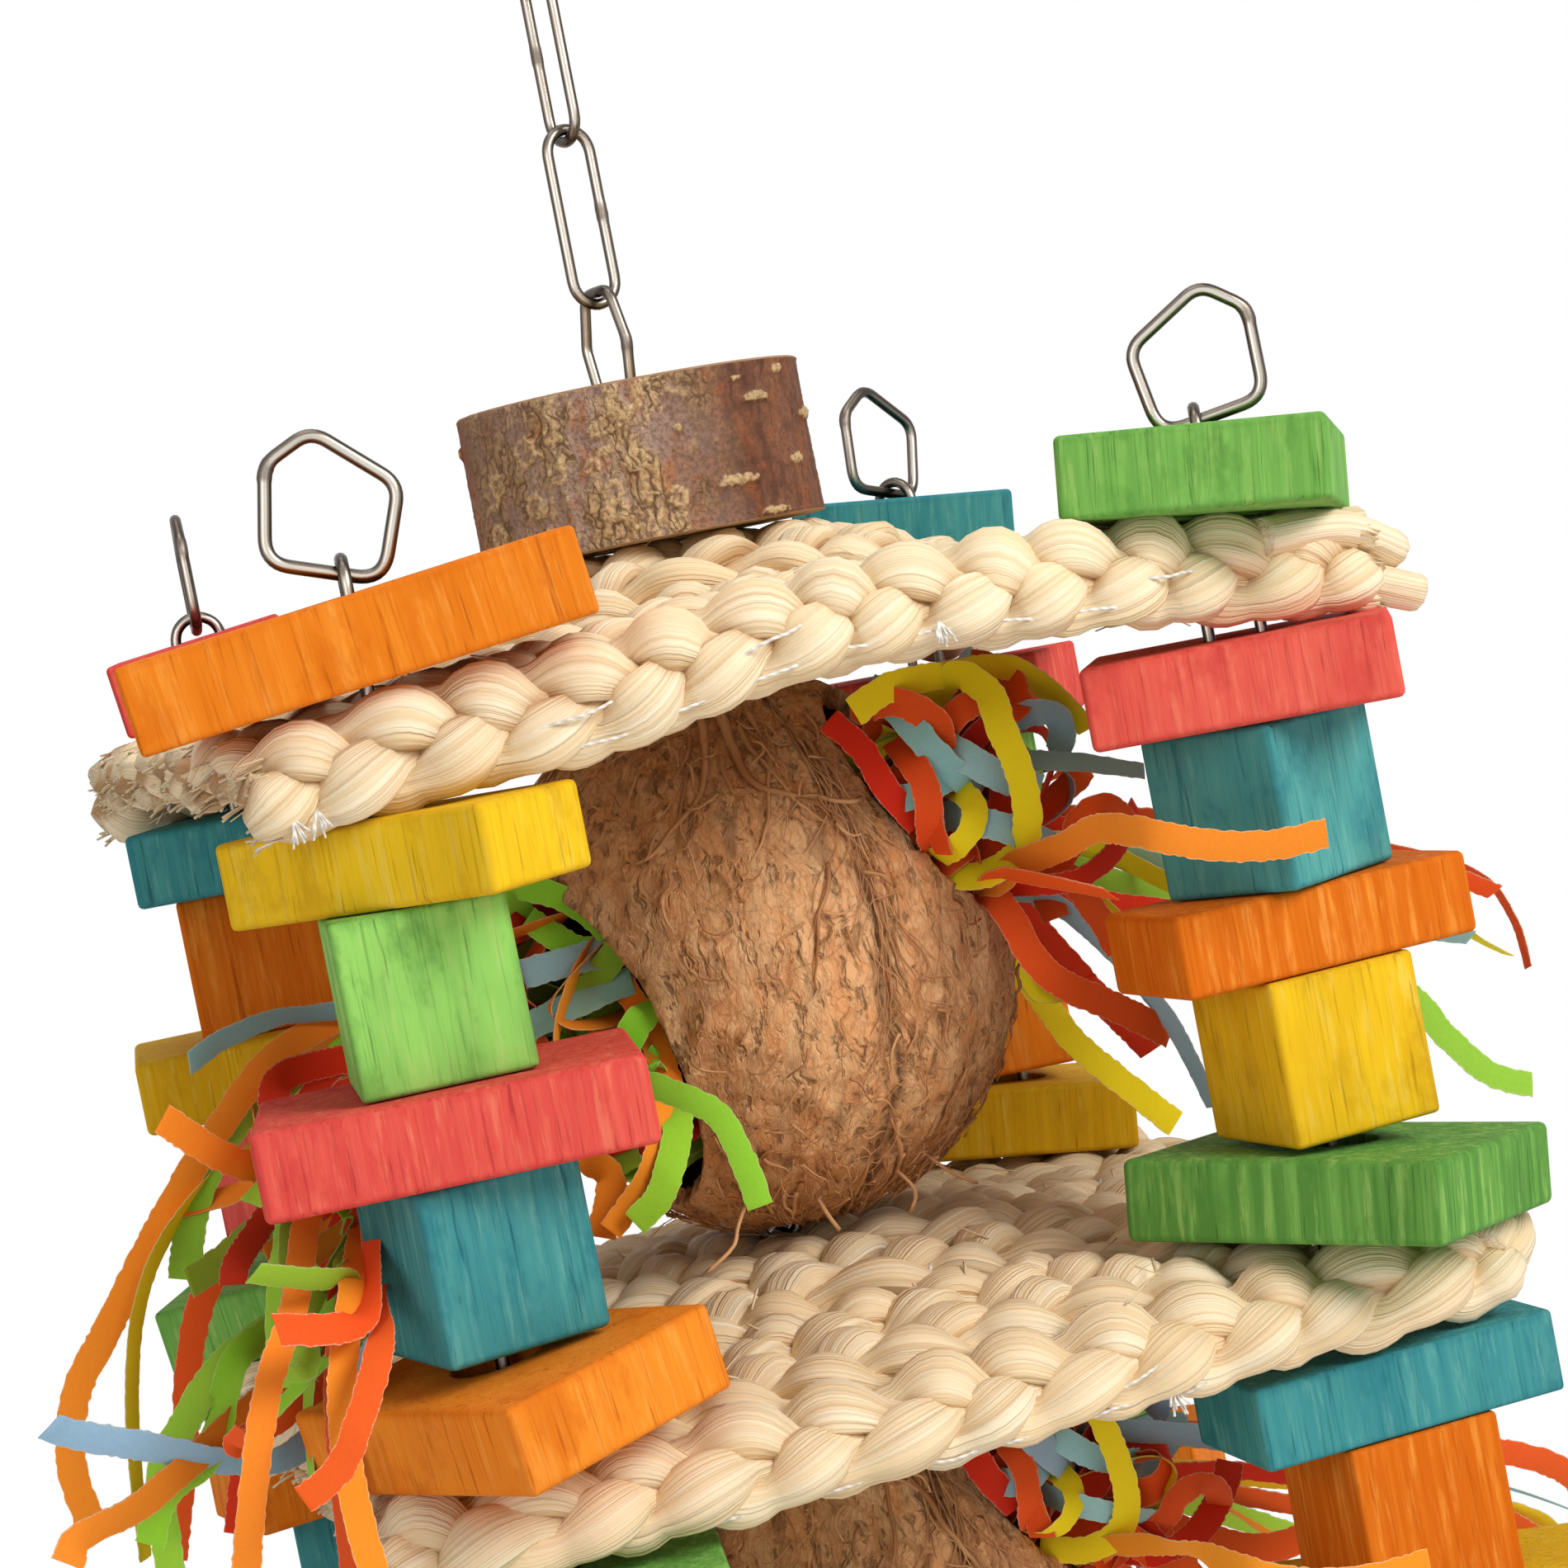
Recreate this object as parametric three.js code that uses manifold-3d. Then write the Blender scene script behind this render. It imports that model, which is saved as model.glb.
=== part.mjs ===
// Foraging bird toy: a hanging tower of two braided mats, two coconut shells stuffed with paper
// strips, and four chains of dyed wood blocks. Millimetres, +Z up, +X to the right and -Y to the
// front. The origin is where the cage hook bears, inside the top of the quick link.
import * as THREE from "three";
import { mergeVertices } from "three/addons/utils/BufferGeometryUtils.js";
import Module from "manifold-3d";

const wasm = await Module();
wasm.setup();

// Clearances
const gap = 0.3; // between pieces that touch
const hookPlay = 0.2; // more play for the upper link, whose bend is wider than the quick link wire
const contactBite = 0.5; // how far the links of a joined chain sink into each other
const paperGap = 0.5; // paper to coconut shell
const matSlack = 0.3; // mat edge to the block under it

// Chain and rings
const wire = 2.8;
const linkLength = 46; // outside
const linkWidth = 14.8; // outside
const linkSides = 6;
const runSides = 5; // links inside the blocks and coconuts are plainer
const bendSteps = 4; // steps in each half-round bend
const runBendSteps = 3;
const quickWire = 4.5;
const quickLength = 48; // outside
const quickWidth = 25; // outside
const sleeveRadius = 4.4;
const sleeveLength = 16;
const ringWire = 3;
const ringBend = 6; // corner rounding
const ringBar = 12.5; // half of a corner ring's bar
const ringShoulder = 20.5; // from the bar up to the two bends beside the peak
const ringLow = 0.4; // how far the bend on the low side stands out past the bar
const ringHigh = 2.9; // and the one on the side of the peak
const ringPeak = 28.9; // from the bar up to the peak
const ringPeakShift = -6.9; // the peak stands off the middle
const ringEye = 4; // where on its bar a standing ring is held
const wideRingRadius = 24; // ring that carries the lower coconut, wider than its hole
const wideRingBend = 5;
const sliceLinkShow = 26; // slice link above the log slice
const sliceLinkDrop = 36; // between the wire middles of its two ends
const sliceLinkTop = 5.6; // half width at its upper end
const sliceLinkSpread = 9.6; // half width where it is bent apart
const sliceLinkShoulder = 13; // from its upper end down to the bend
const sliceLinkFoot = 5.6; // half width at its lower end
const sliceLinkRound = 4.5;
const chainTurn = 15; // degrees, plane of the quick link and of every second link

// Log slice
const sliceDiameter = 88;
const sliceHeight = 38;
const sliceBore = 22;
const sliceSides = 32;
const sliceShift = 3; // its middle lies this far right of the chain

// Mats
const columnSpacing = 200;
const towerShift = 4; // mats and columns lie this far right of the centre chain
const matOverhang = 35; // past the columns, along the rows
const rowWidth = 24;
const rowCount = 11;
const matThickness = 22;
const matBulge = 14; // front and back edges bow out by this
const archRise = 6; // middle of the rows above the columns
const topDome = 14; // lift of the top mat at its middle
const midDome = 7; // lift of the mid mat, which carries a coconut
const matBore = 17;
const matStepsAlong = 14;
const matStepsAcross = 12;

// Blocks
const cubeSize = 38;
const flatThickness = 19;
const blockBore = 17;
const tiltedBore = 20; // flats that lean with the mat need a wider hole round the chain
const boreSides = 10;

// Coconuts
const coconutRadius = 64;
const coconutHeight = 138;
const coconutWall = 5;
const coconutBore = 20;
const upperShift = 8; // the upper shell's middle lies this far right of the chain
const lowerShift = 0;
const coconutSides = 24;
const coconutSteps = 12;
const liningSides = 16; // inside of a shell, and the paper against it
const liningSteps = 8;
const leftHole = { radius: 40, reach: 50, bearing: -169, rise: -14 };
const rightHole = { radius: 32, reach: 56, bearing: -33, rise: 29 };
const lowerDrop = 3; // mid mat to the lower coconut

// Paper strips
const paperWall = 3; // strips packed against the inside of a shell
const stripWidth = 8;
const stripThickness = 1.2;
const stripSteps = 7;
const plugSwell = 13; // paper standing out of a hole
const plugGap = 2.5; // paper plug to hole rim

// Colours of the dyed wood and the other materials
const woodColours = {
  red: 0xd4474e,
  orange: 0xe27a26,
  yellow: 0xd9b31e,
  green: 0x4aa84c,
  blue: 0x2f8396,
};
const steelColour = 0xb4b0aa;
const barkColour = 0x7d6149;
const huskColour = 0xe6cfa6;
const coconutColour = 0x8a5a38;
const paperColour = 0xe8702a;

// One flat or cube of a column: colour, plan sizes and turn in degrees about the chain.
const flat = (colour, length, width, turn) => ({
  kind: "flat",
  colour,
  length,
  width,
  height: flatThickness,
  turn,
});
const cube = (colour, turn) => ({
  kind: "cube",
  colour,
  length: cubeSize,
  width: cubeSize,
  height: cubeSize,
  turn,
});

// Each column from its top flat down: one flat on the top mat, five blocks between the mats and
// three under the mid mat. ringTurn is the bearing of the top ring's bar, ringLean its slope.
const columns = [
  {
    corner: "front_left",
    side: -1,
    face: -1,
    ringTurn: -10,
    ringLean: 19,
    top: flat("orange", 98, 45, -11),
    tier: [
      flat("yellow", 73, 34, -51),
      cube("green", -8),
      flat("red", 82, 57, -12),
      cube("blue", 10),
      flat("orange", 76, 57, -65),
    ],
    tail: [flat("green", 76, 57, -12), cube("yellow", 20), flat("blue", 76, 38, 35)],
  },
  {
    corner: "front_right",
    side: 1,
    face: -1,
    ringTurn: 155,
    ringLean: 9,
    top: flat("green", 76, 60, 60),
    tier: [
      flat("red", 70, 57, -27),
      cube("blue", 26),
      flat("orange", 75, 38, 2),
      cube("yellow", 4),
      flat("green", 78, 64, -52),
    ],
    tail: [flat("blue", 76, 38, -1), cube("orange", 1), flat("yellow", 76, 57, -30)],
  },
  {
    corner: "back_left",
    side: -1,
    face: 1,
    ringTurn: 82,
    ringLean: 6,
    top: flat("red", 76, 46, 80),
    tier: [
      flat("blue", 76, 38, 65),
      cube("orange", -10),
      flat("yellow", 76, 57, -8),
      cube("red", 15),
      flat("green", 76, 57, -30),
    ],
    tail: [flat("orange", 76, 38, 10), cube("blue", -20), flat("red", 76, 57, 40)],
  },
  {
    corner: "back_right",
    side: 1,
    face: 1,
    ringTurn: 29,
    ringLean: 12,
    top: flat("blue", 76, 60, 70),
    tier: [
      flat("red", 76, 38, -40),
      cube("green", 30),
      flat("blue", 76, 38, 70),
      cube("orange", -14),
      flat("yellow", 66, 57, -20),
    ],
    tail: [flat("red", 76, 57, 15), cube("green", 5), flat("orange", 76, 38, -35)],
  },
];

// Strip routes from the coconut's middle, by hand: through the left hole and out between the left
// columns, and through the right hole and round the front right column.
const leftStrips = [
  [[-47, 8, -4], [-66, 22, 10], [-112, 34, -2], [-146, 36, -34], [-160, 40, -92]],
  [[-47, 4, 4], [-70, 12, 16], [-118, 18, 2], [-158, 20, -40], [-184, 26, -96]],
  [[-47, 0, -10], [-74, 2, 4], [-122, 4, -12], [-156, 0, -52], [-166, -4, -112]],
  [[-47, -4, 0], [-70, -10, 12], [-116, -14, 4], [-150, -22, -26], [-192, -40, -70]],
  [[-47, -8, -14], [-68, -20, -8], [-114, -30, -22], [-148, -42, -56], [-160, -58, -110]],
  [[-47, -10, -6], [-64, -26, 2], [-108, -36, -4], [-140, -40, 2], [-166, -38, -6]],
  [[-47, 2, -18], [-66, 4, -28], [-104, 12, -40], [-142, 14, -58], [-172, 10, -84]],
];
const rightStrips = [
  [[44, -30, 28], [66, -38, 30], [84, -44, 24], [98, -30, 14]],
  [[46, -20, 22], [72, -16, 26], [104, -10, 12], [130, 4, -26], [134, 14, -62]],
  [[44, -34, 18], [56, -58, 12], [72, -124, 8], [100, -136, 8], [124, -140, 10]],
  [[45, -24, 30], [74, -28, 22], [126, -26, 6], [168, -28, -14], [200, -30, -46]],
  [[46, -18, 28], [62, -20, 36], [108, -6, 14], [164, 4, -34], [208, 2, -84]],
];

const spacing = columnSpacing / 2;
const matHalf = spacing + matOverhang;
const matDepth = rowWidth * rowCount;
const tilt = Math.atan((2 * archRise) / spacing);
const archDrop = archRise * ((matHalf / spacing) ** 2 - 1);
const radians = THREE.MathUtils.degToRad;
const reachOf = (block) => Math.hypot(block.length, block.width) / 2;
const everyBlock = columns.flatMap((column) => [column.top, ...column.tier, ...column.tail]);
const longestReach = Math.max(...everyBlock.map(reachOf));
const domeRadius = Math.SQRT2 * spacing - longestReach - gap;

// Height of a mat's middle above its level at the columns.
function matHeight(x, y, domeRise) {
  const out = Math.min(Math.hypot(x, y) / domeRadius, 1);
  const dome = (domeRise * (1 + Math.cos(Math.PI * out))) / 2;
  return archRise * (1 - (x / spacing) ** 2) + dome;
}

// Geometry to a solid, and back
function solidOf(geometry) {
  const bare = geometry.clone();
  bare.deleteAttribute("normal");
  bare.deleteAttribute("uv");
  const merged = mergeVertices(bare, 1e-4);
  const vertProperties = merged.attributes.position.array;
  const triVerts = new Uint32Array(merged.index.array);
  return new wasm.Manifold(new wasm.Mesh({ numProp: 3, vertProperties, triVerts }));
}

function geometryOf(solid) {
  const made = solid.getMesh();
  const geometry = new THREE.BufferGeometry();
  geometry.setAttribute("position", new THREE.BufferAttribute(made.vertProperties, 3));
  geometry.setIndex(new THREE.BufferAttribute(made.triVerts, 1));
  geometry.computeVertexNormals();
  return geometry;
}

const joined = (geometries) => geometryOf(geometries.map(solidOf).reduce((a, b) => a.add(b)));
const cut = (geometry, tools) =>
  geometryOf(tools.map(solidOf).reduce((a, b) => a.subtract(b), solidOf(geometry)));

// A cylinder along Z
function post(radius, height, sides) {
  const geometry = new THREE.CylinderGeometry(radius, radius, height, sides);
  geometry.rotateX(Math.PI / 2);
  return geometry;
}

// Outline with every corner rounded, as points of the wire's middle.
function roundedOutline(corners, round, steps) {
  const points = [];
  corners.forEach((corner, i) => {
    const before = corners[(i + corners.length - 1) % corners.length];
    const after = corners[(i + 1) % corners.length];
    const toBefore = before.clone().sub(corner).normalize();
    const toAfter = after.clone().sub(corner).normalize();
    const halfAngle = Math.acos(toBefore.dot(toAfter)) / 2;
    const setBack = round / Math.tan(halfAngle);
    const start = corner.clone().addScaledVector(toBefore, setBack);
    const end = corner.clone().addScaledVector(toAfter, setBack);
    const bend = new THREE.QuadraticBezierCurve(start, corner, end);
    points.push(...bend.getPoints(steps));
  });
  return points;
}

// Two straight legs and two half-round bends, standing on end. Its upper bend is at height 0.
function linkOutline(drop, span, steps) {
  const radius = span / 2;
  const lift = steps % 2 ? 1 / Math.cos(Math.PI / (2 * steps)) : 1; // a flat apex still ends at 0
  const points = [];
  for (const [level, from] of [[-radius, 0], [radius - drop, Math.PI]]) {
    for (let i = 0; i <= steps; i += 1) {
      const angle = from + (Math.PI * i) / steps;
      const rise = radius * lift * Math.sin(angle);
      points.push(new THREE.Vector2(radius * Math.cos(angle), level + rise));
    }
  }
  return points;
}

// Round wire bent along a closed outline in the XZ plane
function wireLoop(outline, diameter, sides) {
  const count = outline.length;
  const positions = [];
  const index = [];
  outline.forEach((point, i) => {
    const before = outline[(i + count - 1) % count];
    const after = outline[(i + 1) % count];
    const arrive = point.clone().sub(before).normalize();
    const leave = after.clone().sub(point).normalize();
    const along = arrive.clone().add(leave).normalize();
    const mitre = 1 / Math.max(along.dot(leave), 0.5);
    for (let k = 0; k < sides; k += 1) {
      const angle = Math.PI + (2 * Math.PI * k) / sides; // a full radius on the inside of a bend
      const outward = (diameter / 2) * Math.cos(angle) * mitre;
      const level = (diameter / 2) * Math.sin(angle);
      positions.push(point.x + along.y * outward, level, point.y - along.x * outward);
      const next = ((i + 1) % count) * sides;
      const here = i * sides;
      const turn = (k + 1) % sides;
      index.push(here + k, next + turn, next + k, here + k, here + turn, next + turn);
    }
  });
  const geometry = new THREE.BufferGeometry();
  geometry.setAttribute("position", new THREE.Float32BufferAttribute(positions, 3));
  geometry.setIndex(index);
  return geometry;
}

const chainLink = (outer, steps, sides) =>
  wireLoop(linkOutline(outer - wire, linkWidth - wire, steps), wire, sides);

// A link bent into an uneven pentagon, held at a place on its flat bar that lies at the origin.
function ringLoop(eye) {
  const corners = [
    new THREE.Vector2(ringPeakShift - eye, ringPeak),
    new THREE.Vector2(-ringBar - ringHigh - eye, ringShoulder),
    new THREE.Vector2(-ringBar - eye, 0),
    new THREE.Vector2(ringBar - eye, 0),
    new THREE.Vector2(ringBar + ringLow - eye, ringShoulder),
  ];
  return wireLoop(roundedOutline(corners, ringBend, 2), ringWire, linkSides);
}

// An even pentagon of wire, with the middle of its flat bar at the origin.
function wideRingLoop(radius) {
  const rise = radius * Math.cos(Math.PI / 5);
  const corners = [];
  for (let i = 0; i < 5; i += 1) {
    const angle = Math.PI / 2 + (2 * Math.PI * i) / 5;
    corners.push(new THREE.Vector2(radius * Math.cos(angle), rise + radius * Math.sin(angle)));
  }
  return wireLoop(roundedOutline(corners, wideRingBend, 2), ringWire, linkSides);
}

// A run of links joined where they touch, from the top wire's middle down by drop.
function chainRun(drop, firstTurn) {
  const bite = wire - contactBite;
  const count = Math.max(1, Math.round((drop + bite) / (linkLength - wire + bite - 2 * wire)));
  const pitch = (drop + (count - 1) * bite) / count;
  const links = [];
  for (let i = 0; i < count; i += 1) {
    const link = chainLink(pitch + wire, runBendSteps, runSides);
    link.rotateZ(radians(firstTurn + 90 * i));
    link.translate(0, 0, -i * (pitch - bite));
    links.push(link);
  }
  return { links, lastTurn: firstTurn + 90 * (count - 1) };
}

// A rectangular block with a hole for its chain, about its own middle
function blockGeometry(block, bore) {
  const shape = new THREE.Shape();
  shape.moveTo(-block.length / 2, -block.width / 2);
  shape.lineTo(block.length / 2, -block.width / 2);
  shape.lineTo(block.length / 2, block.width / 2);
  shape.lineTo(-block.length / 2, block.width / 2);
  shape.closePath();
  const hole = new THREE.Path();
  hole.absarc(0, 0, bore / 2, 0, 2 * Math.PI, true);
  shape.holes.push(hole);
  const geometry = new THREE.ExtrudeGeometry(shape, {
    depth: block.height,
    bevelEnabled: false,
    curveSegments: boreSides / 2,
  });
  geometry.translate(0, 0, -block.height / 2);
  return geometry;
}

// A mat: a slab arched along its rows, lifted at the middle, with bowed front and back edges
function matGeometry(domeRise) {
  const slab = new THREE.BoxGeometry(
    2 * matHalf, matDepth, matThickness, matStepsAlong, matStepsAcross, 1,
  );
  const place = slab.attributes.position;
  for (let i = 0; i < place.count; i += 1) {
    const x = place.getX(i);
    const bow = 1 - (2 * matBulge * (x / matHalf) ** 2) / matDepth;
    const y = place.getY(i) * bow;
    place.setXYZ(i, x, y, place.getZ(i) + matHeight(x, y, domeRise));
  }
  const tall = 2 * (matThickness + domeRise + archRise);
  const holes = [post(matBore / 2, tall, boreSides).translate(-towerShift, 0, 0)];
  for (const { side, face } of columns) {
    holes.push(post(matBore / 2, tall, boreSides).translate(side * spacing, face * spacing, 0));
  }
  return cut(slab, holes);
}

// Unit vector out of a coconut's hole
function holeAxis(hole) {
  const level = Math.cos(radians(hole.rise));
  return new THREE.Vector3(
    level * Math.cos(radians(hole.bearing)),
    level * Math.sin(radians(hole.bearing)),
    Math.sin(radians(hole.rise)),
  );
}

// Turns a shape made along Z to point out of a hole, with its middle out at the given distance.
function aimed(geometry, hole, distance) {
  const axis = holeAxis(hole);
  const turn = new THREE.Quaternion().setFromUnitVectors(new THREE.Vector3(0, 0, 1), axis);
  geometry.applyQuaternion(turn);
  geometry.translate(axis.x * distance, axis.y * distance, axis.z * distance);
  return geometry;
}

// An egg about the origin, smaller than the coconut by inset all round
function egg(inset, sides, steps) {
  const geometry = new THREE.SphereGeometry(1, sides, steps).rotateX(Math.PI / 2);
  return geometry.scale(coconutRadius - inset, coconutRadius - inset, coconutHeight / 2 - inset);
}

// A coconut shell about its middle: bored at both poles for the chain, with a hole on each side
function coconutGeometry(shift) {
  const holes = [leftHole, rightHole].map((hole) =>
    aimed(post(hole.radius, 2 * coconutWall + coconutRadius, 24), hole, hole.reach + 10),
  );
  const hollow = [egg(coconutWall, liningSides, liningSteps), ...holes];
  return cut(egg(0, coconutSides, coconutSteps).translate(shift, 0, 0), [
    ...hollow.map((tool) => tool.translate(shift, 0, 0)),
    post(coconutBore / 2, 2 * coconutHeight, boreSides),
  ]);
}

// A flat strip along a smooth curve through its points
function stripGeometry(points) {
  const curve = new THREE.CatmullRomCurve3(points.map((p) => new THREE.Vector3(...p)));
  const positions = [];
  const index = [];
  const up = new THREE.Vector3(0, 0, 1);
  for (let i = 0; i <= stripSteps; i += 1) {
    const point = curve.getPointAt(i / stripSteps);
    const along = curve.getTangentAt(i / stripSteps);
    const across = new THREE.Vector3().crossVectors(along, up).cross(along).normalize();
    const normal = new THREE.Vector3().crossVectors(along, across).normalize();
    for (const [a, b] of [[-1, -1], [1, -1], [1, 1], [-1, 1]]) {
      const corner = point.clone();
      corner.addScaledVector(across, (a * stripWidth) / 2);
      corner.addScaledVector(normal, (b * stripThickness) / 2);
      positions.push(corner.x, corner.y, corner.z);
    }
    if (i === 0) continue;
    for (let k = 0; k < 4; k += 1) {
      const here = (i - 1) * 4 + k;
      const beside = (i - 1) * 4 + ((k + 1) % 4);
      index.push(here, beside, beside + 4, here, beside + 4, here + 4);
    }
  }
  const last = stripSteps * 4;
  index.push(0, 2, 1, 0, 3, 2, last, last + 1, last + 2, last, last + 2, last + 3);
  const geometry = new THREE.BufferGeometry();
  geometry.setAttribute("position", new THREE.Float32BufferAttribute(positions, 3));
  geometry.setIndex(index);
  return geometry;
}

// The paper of one coconut about the coconut's middle: strips packed against the shell, a swell in
// each hole, and the strips that hang out.
function paperGeometry(shift) {
  const inset = coconutWall + paperGap;
  const swells = [leftHole, rightHole].map((hole) => {
    const swell = new THREE.SphereGeometry(1, 12, 6).rotateX(Math.PI / 2);
    swell.scale(hole.radius - plugGap, hole.radius - plugGap, plugSwell);
    return aimed(swell, hole, hole.reach);
  });
  const strips = [...leftStrips, ...rightStrips].map(stripGeometry);
  const packed = cut(egg(inset, liningSides, liningSteps), [
    egg(inset + paperWall, liningSides, liningSteps),
  ]);
  return cut(joined([packed, ...swells, ...strips]).translate(shift, 0, 0), [
    post(coconutBore / 2, 2 * coconutHeight, boreSides),
  ]);
}

function material(colour, roughness, metalness) {
  return new THREE.MeshStandardMaterial({ color: colour, roughness, metalness });
}

function mesh(name, geometry, look, parent) {
  const made = new THREE.Mesh(geometry, look);
  made.name = name;
  parent.add(made);
  return made;
}

const steel = () => material(steelColour, 0.3, 1);
const toy = new THREE.Group();

// Hanging chain: quick link, two links and the bent link that goes into the log slice
const quickFoot = quickWire / 2 - (quickLength - quickWire);
const upperTop = quickFoot + quickWire / 2 + wire / 2 + gap + hookPlay;
const lowerTop = upperTop - (linkLength - wire) + wire + gap;
const sliceLinkHead = lowerTop - (linkLength - wire) + wire + gap;

function quickLinkGeometry() {
  const span = quickWidth - quickWire;
  const loop = wireLoop(linkOutline(quickLength - quickWire, span, bendSteps), quickWire, 8);
  const sleeve = post(sleeveRadius, sleeveLength, 6);
  sleeve.translate(span / 2, 0, -(quickLength - quickWire) / 2);
  return joined([loop, sleeve]);
}

function sliceLinkGeometry() {
  const corners = [
    [sliceLinkTop, 0],
    [-sliceLinkTop, 0],
    [-sliceLinkSpread, -sliceLinkShoulder],
    [-sliceLinkFoot, -sliceLinkDrop],
    [sliceLinkFoot, -sliceLinkDrop],
    [sliceLinkSpread, -sliceLinkShoulder],
  ].map(([x, z]) => new THREE.Vector2(x, z));
  return wireLoop(roundedOutline(corners, sliceLinkRound, 3), wire, linkSides);
}

const crossTurn = chainTurn + 90;
const quickLink = mesh("quick_link", quickLinkGeometry(), steel(), toy);
quickLink.position.z = quickWire / 2;
quickLink.rotation.z = radians(chainTurn);
const upperLink = mesh("upper_chain_link", chainLink(linkLength, bendSteps, linkSides), steel(), toy);
upperLink.position.z = upperTop;
upperLink.rotation.z = radians(crossTurn);
const lowerLink = mesh("lower_chain_link", chainLink(linkLength, bendSteps, linkSides), steel(), toy);
lowerLink.position.z = lowerTop;
lowerLink.rotation.z = radians(chainTurn);
const sliceLink = mesh("slice_link", sliceLinkGeometry(), steel(), toy);
sliceLink.position.z = sliceLinkHead;
sliceLink.rotation.z = radians(crossTurn);

// Log slice on the top mat
const sliceTop = sliceLinkHead + wire / 2 - sliceLinkShow;
const sliceRound = post(sliceDiameter / 2, sliceHeight, sliceSides).translate(sliceShift, 0, 0);
const sliceBody = cut(sliceRound, [post(sliceBore / 2, 2 * sliceHeight, boreSides)]);
const logSlice = mesh("log_slice", sliceBody, material(barkColour, 0.9, 0), toy);
logSlice.position.z = sliceTop - sliceHeight / 2;

// Levels of the tower, from the top mat down, each at the columns
const seatOn = (dome) => matHeight(0, matBore / 2, dome) + matThickness / 2 + gap;
const topMatLevel = sliceTop - sliceHeight - seatOn(topDome);
const tierTop = topMatLevel - matThickness / 2 - archDrop - matSlack;
const tiltedFlat = flatThickness / Math.cos(tilt);
const wedge = (cubeSize / Math.SQRT2) * Math.tan(tilt) + gap;
const levelTier = 2 * flatThickness + 2 * cubeSize + 3 * gap;
const leanTop = tierTop - levelTier - wedge; // top of the flat that leans on the mid mat
const midMatLevel = leanTop - tiltedFlat - gap / Math.cos(tilt) - matThickness / 2;
const tailTop = midMatLevel - matThickness / 2 - archDrop - matSlack;
const tailFoot = tailTop - 2 * flatThickness - cubeSize - 2 * gap;

const husk = () => material(huskColour, 0.8, 0);
mesh("top_mat", matGeometry(topDome), husk(), toy).position.set(towerShift, 0, topMatLevel);
mesh("mid_mat", matGeometry(midDome), husk(), toy).position.set(towerShift, 0, midMatLevel);

// Coconuts: the upper one sits on the mid mat, the lower one hangs below it on its ring
const poleStep = Math.PI / coconutSteps;
const poleSlope = ((1 - Math.cos(poleStep)) * coconutHeight) / (2 * coconutRadius * Math.sin(poleStep));
const rimLevel = (shift) => coconutHeight / 2 - poleSlope * (coconutBore / 2 - shift);
const upperMiddle = midMatLevel + seatOn(midDome) + rimLevel(upperShift);
const lowerRoof = midMatLevel + matHeight(0, 0, midDome) - matThickness / 2;
const lowerMiddle = lowerRoof - lowerDrop - coconutHeight / 2;
for (const [level, middle, shift] of [
  ["upper", upperMiddle, upperShift],
  ["lower", lowerMiddle, lowerShift],
]) {
  const look = material(coconutColour, 0.9, 0);
  mesh(`${level}_coconut`, coconutGeometry(shift), look, toy).position.z = middle;
  const colours = material(paperColour, 0.7, 0);
  mesh(`${level}_paper`, paperGeometry(shift), colours, toy).position.z = middle;
}

// Centre chain from the slice link down to a ring under the lower coconut
const barSeat = ringWire / 2 + wire / 2 + gap; // ring bar to the wire of the link that holds it
const centreTop = sliceLinkHead - sliceLinkDrop + wire + gap;
const centreBar = lowerMiddle - rimLevel(lowerShift) - gap - ringWire / 2;
const centreRun = chainRun(centreTop - (centreBar - barSeat + gap + contactBite), chainTurn);
const centreRing = wideRingLoop(wideRingRadius).rotateX(Math.PI);
centreRing.rotateZ(radians(centreRun.lastTurn + 90)).translate(0, 0, centreBar - centreTop);
const centreChain = mesh("centre_chain", joined([...centreRun.links, centreRing]), steel(), toy);
centreChain.position.z = centreTop;

// Columns: blocks threaded on a corner chain between two rings
function addBlock(column, name, block, bore, parent) {
  const look = material(woodColours[block.colour], 0.7, 0);
  const made = mesh(`${column.corner}_${name}`, blockGeometry(block, bore), look, parent);
  made.rotation.z = radians(block.turn);
  return made;
}

// A flat that lies on the mat beside its column, leaning with the arch, centred on the chain
function addLeaningFlat(column, name, block, matTop) {
  const seat = new THREE.Group();
  seat.position.set(towerShift + column.side * spacing, column.face * spacing, matTop);
  seat.rotation.y = column.side * tilt;
  toy.add(seat);
  const rise = gap + flatThickness / 2;
  const made = addBlock(column, name, block, tiltedBore, seat);
  made.position.set(-column.side * rise * Math.tan(tilt), 0, rise);
}

function addStack(column, blocks, names, top) {
  let level = top;
  blocks.forEach((block, i) => {
    const made = addBlock(column, names[i], block, blockBore, toy);
    const x = towerShift + column.side * spacing;
    made.position.set(x, column.face * spacing, level - block.height / 2);
    level -= block.height + gap;
  });
}

const tierNames = ["flat_1", "cube_1", "flat_2", "cube_2"];
const tailNames = ["flat_4", "cube_3", "flat_5"];
const ringSeat =
  topMatLevel + matThickness / 2 + tiltedFlat + gap / Math.cos(tilt) + gap + ringWire / 2;
const footBar = tailFoot - gap - ringWire / 2;

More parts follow.
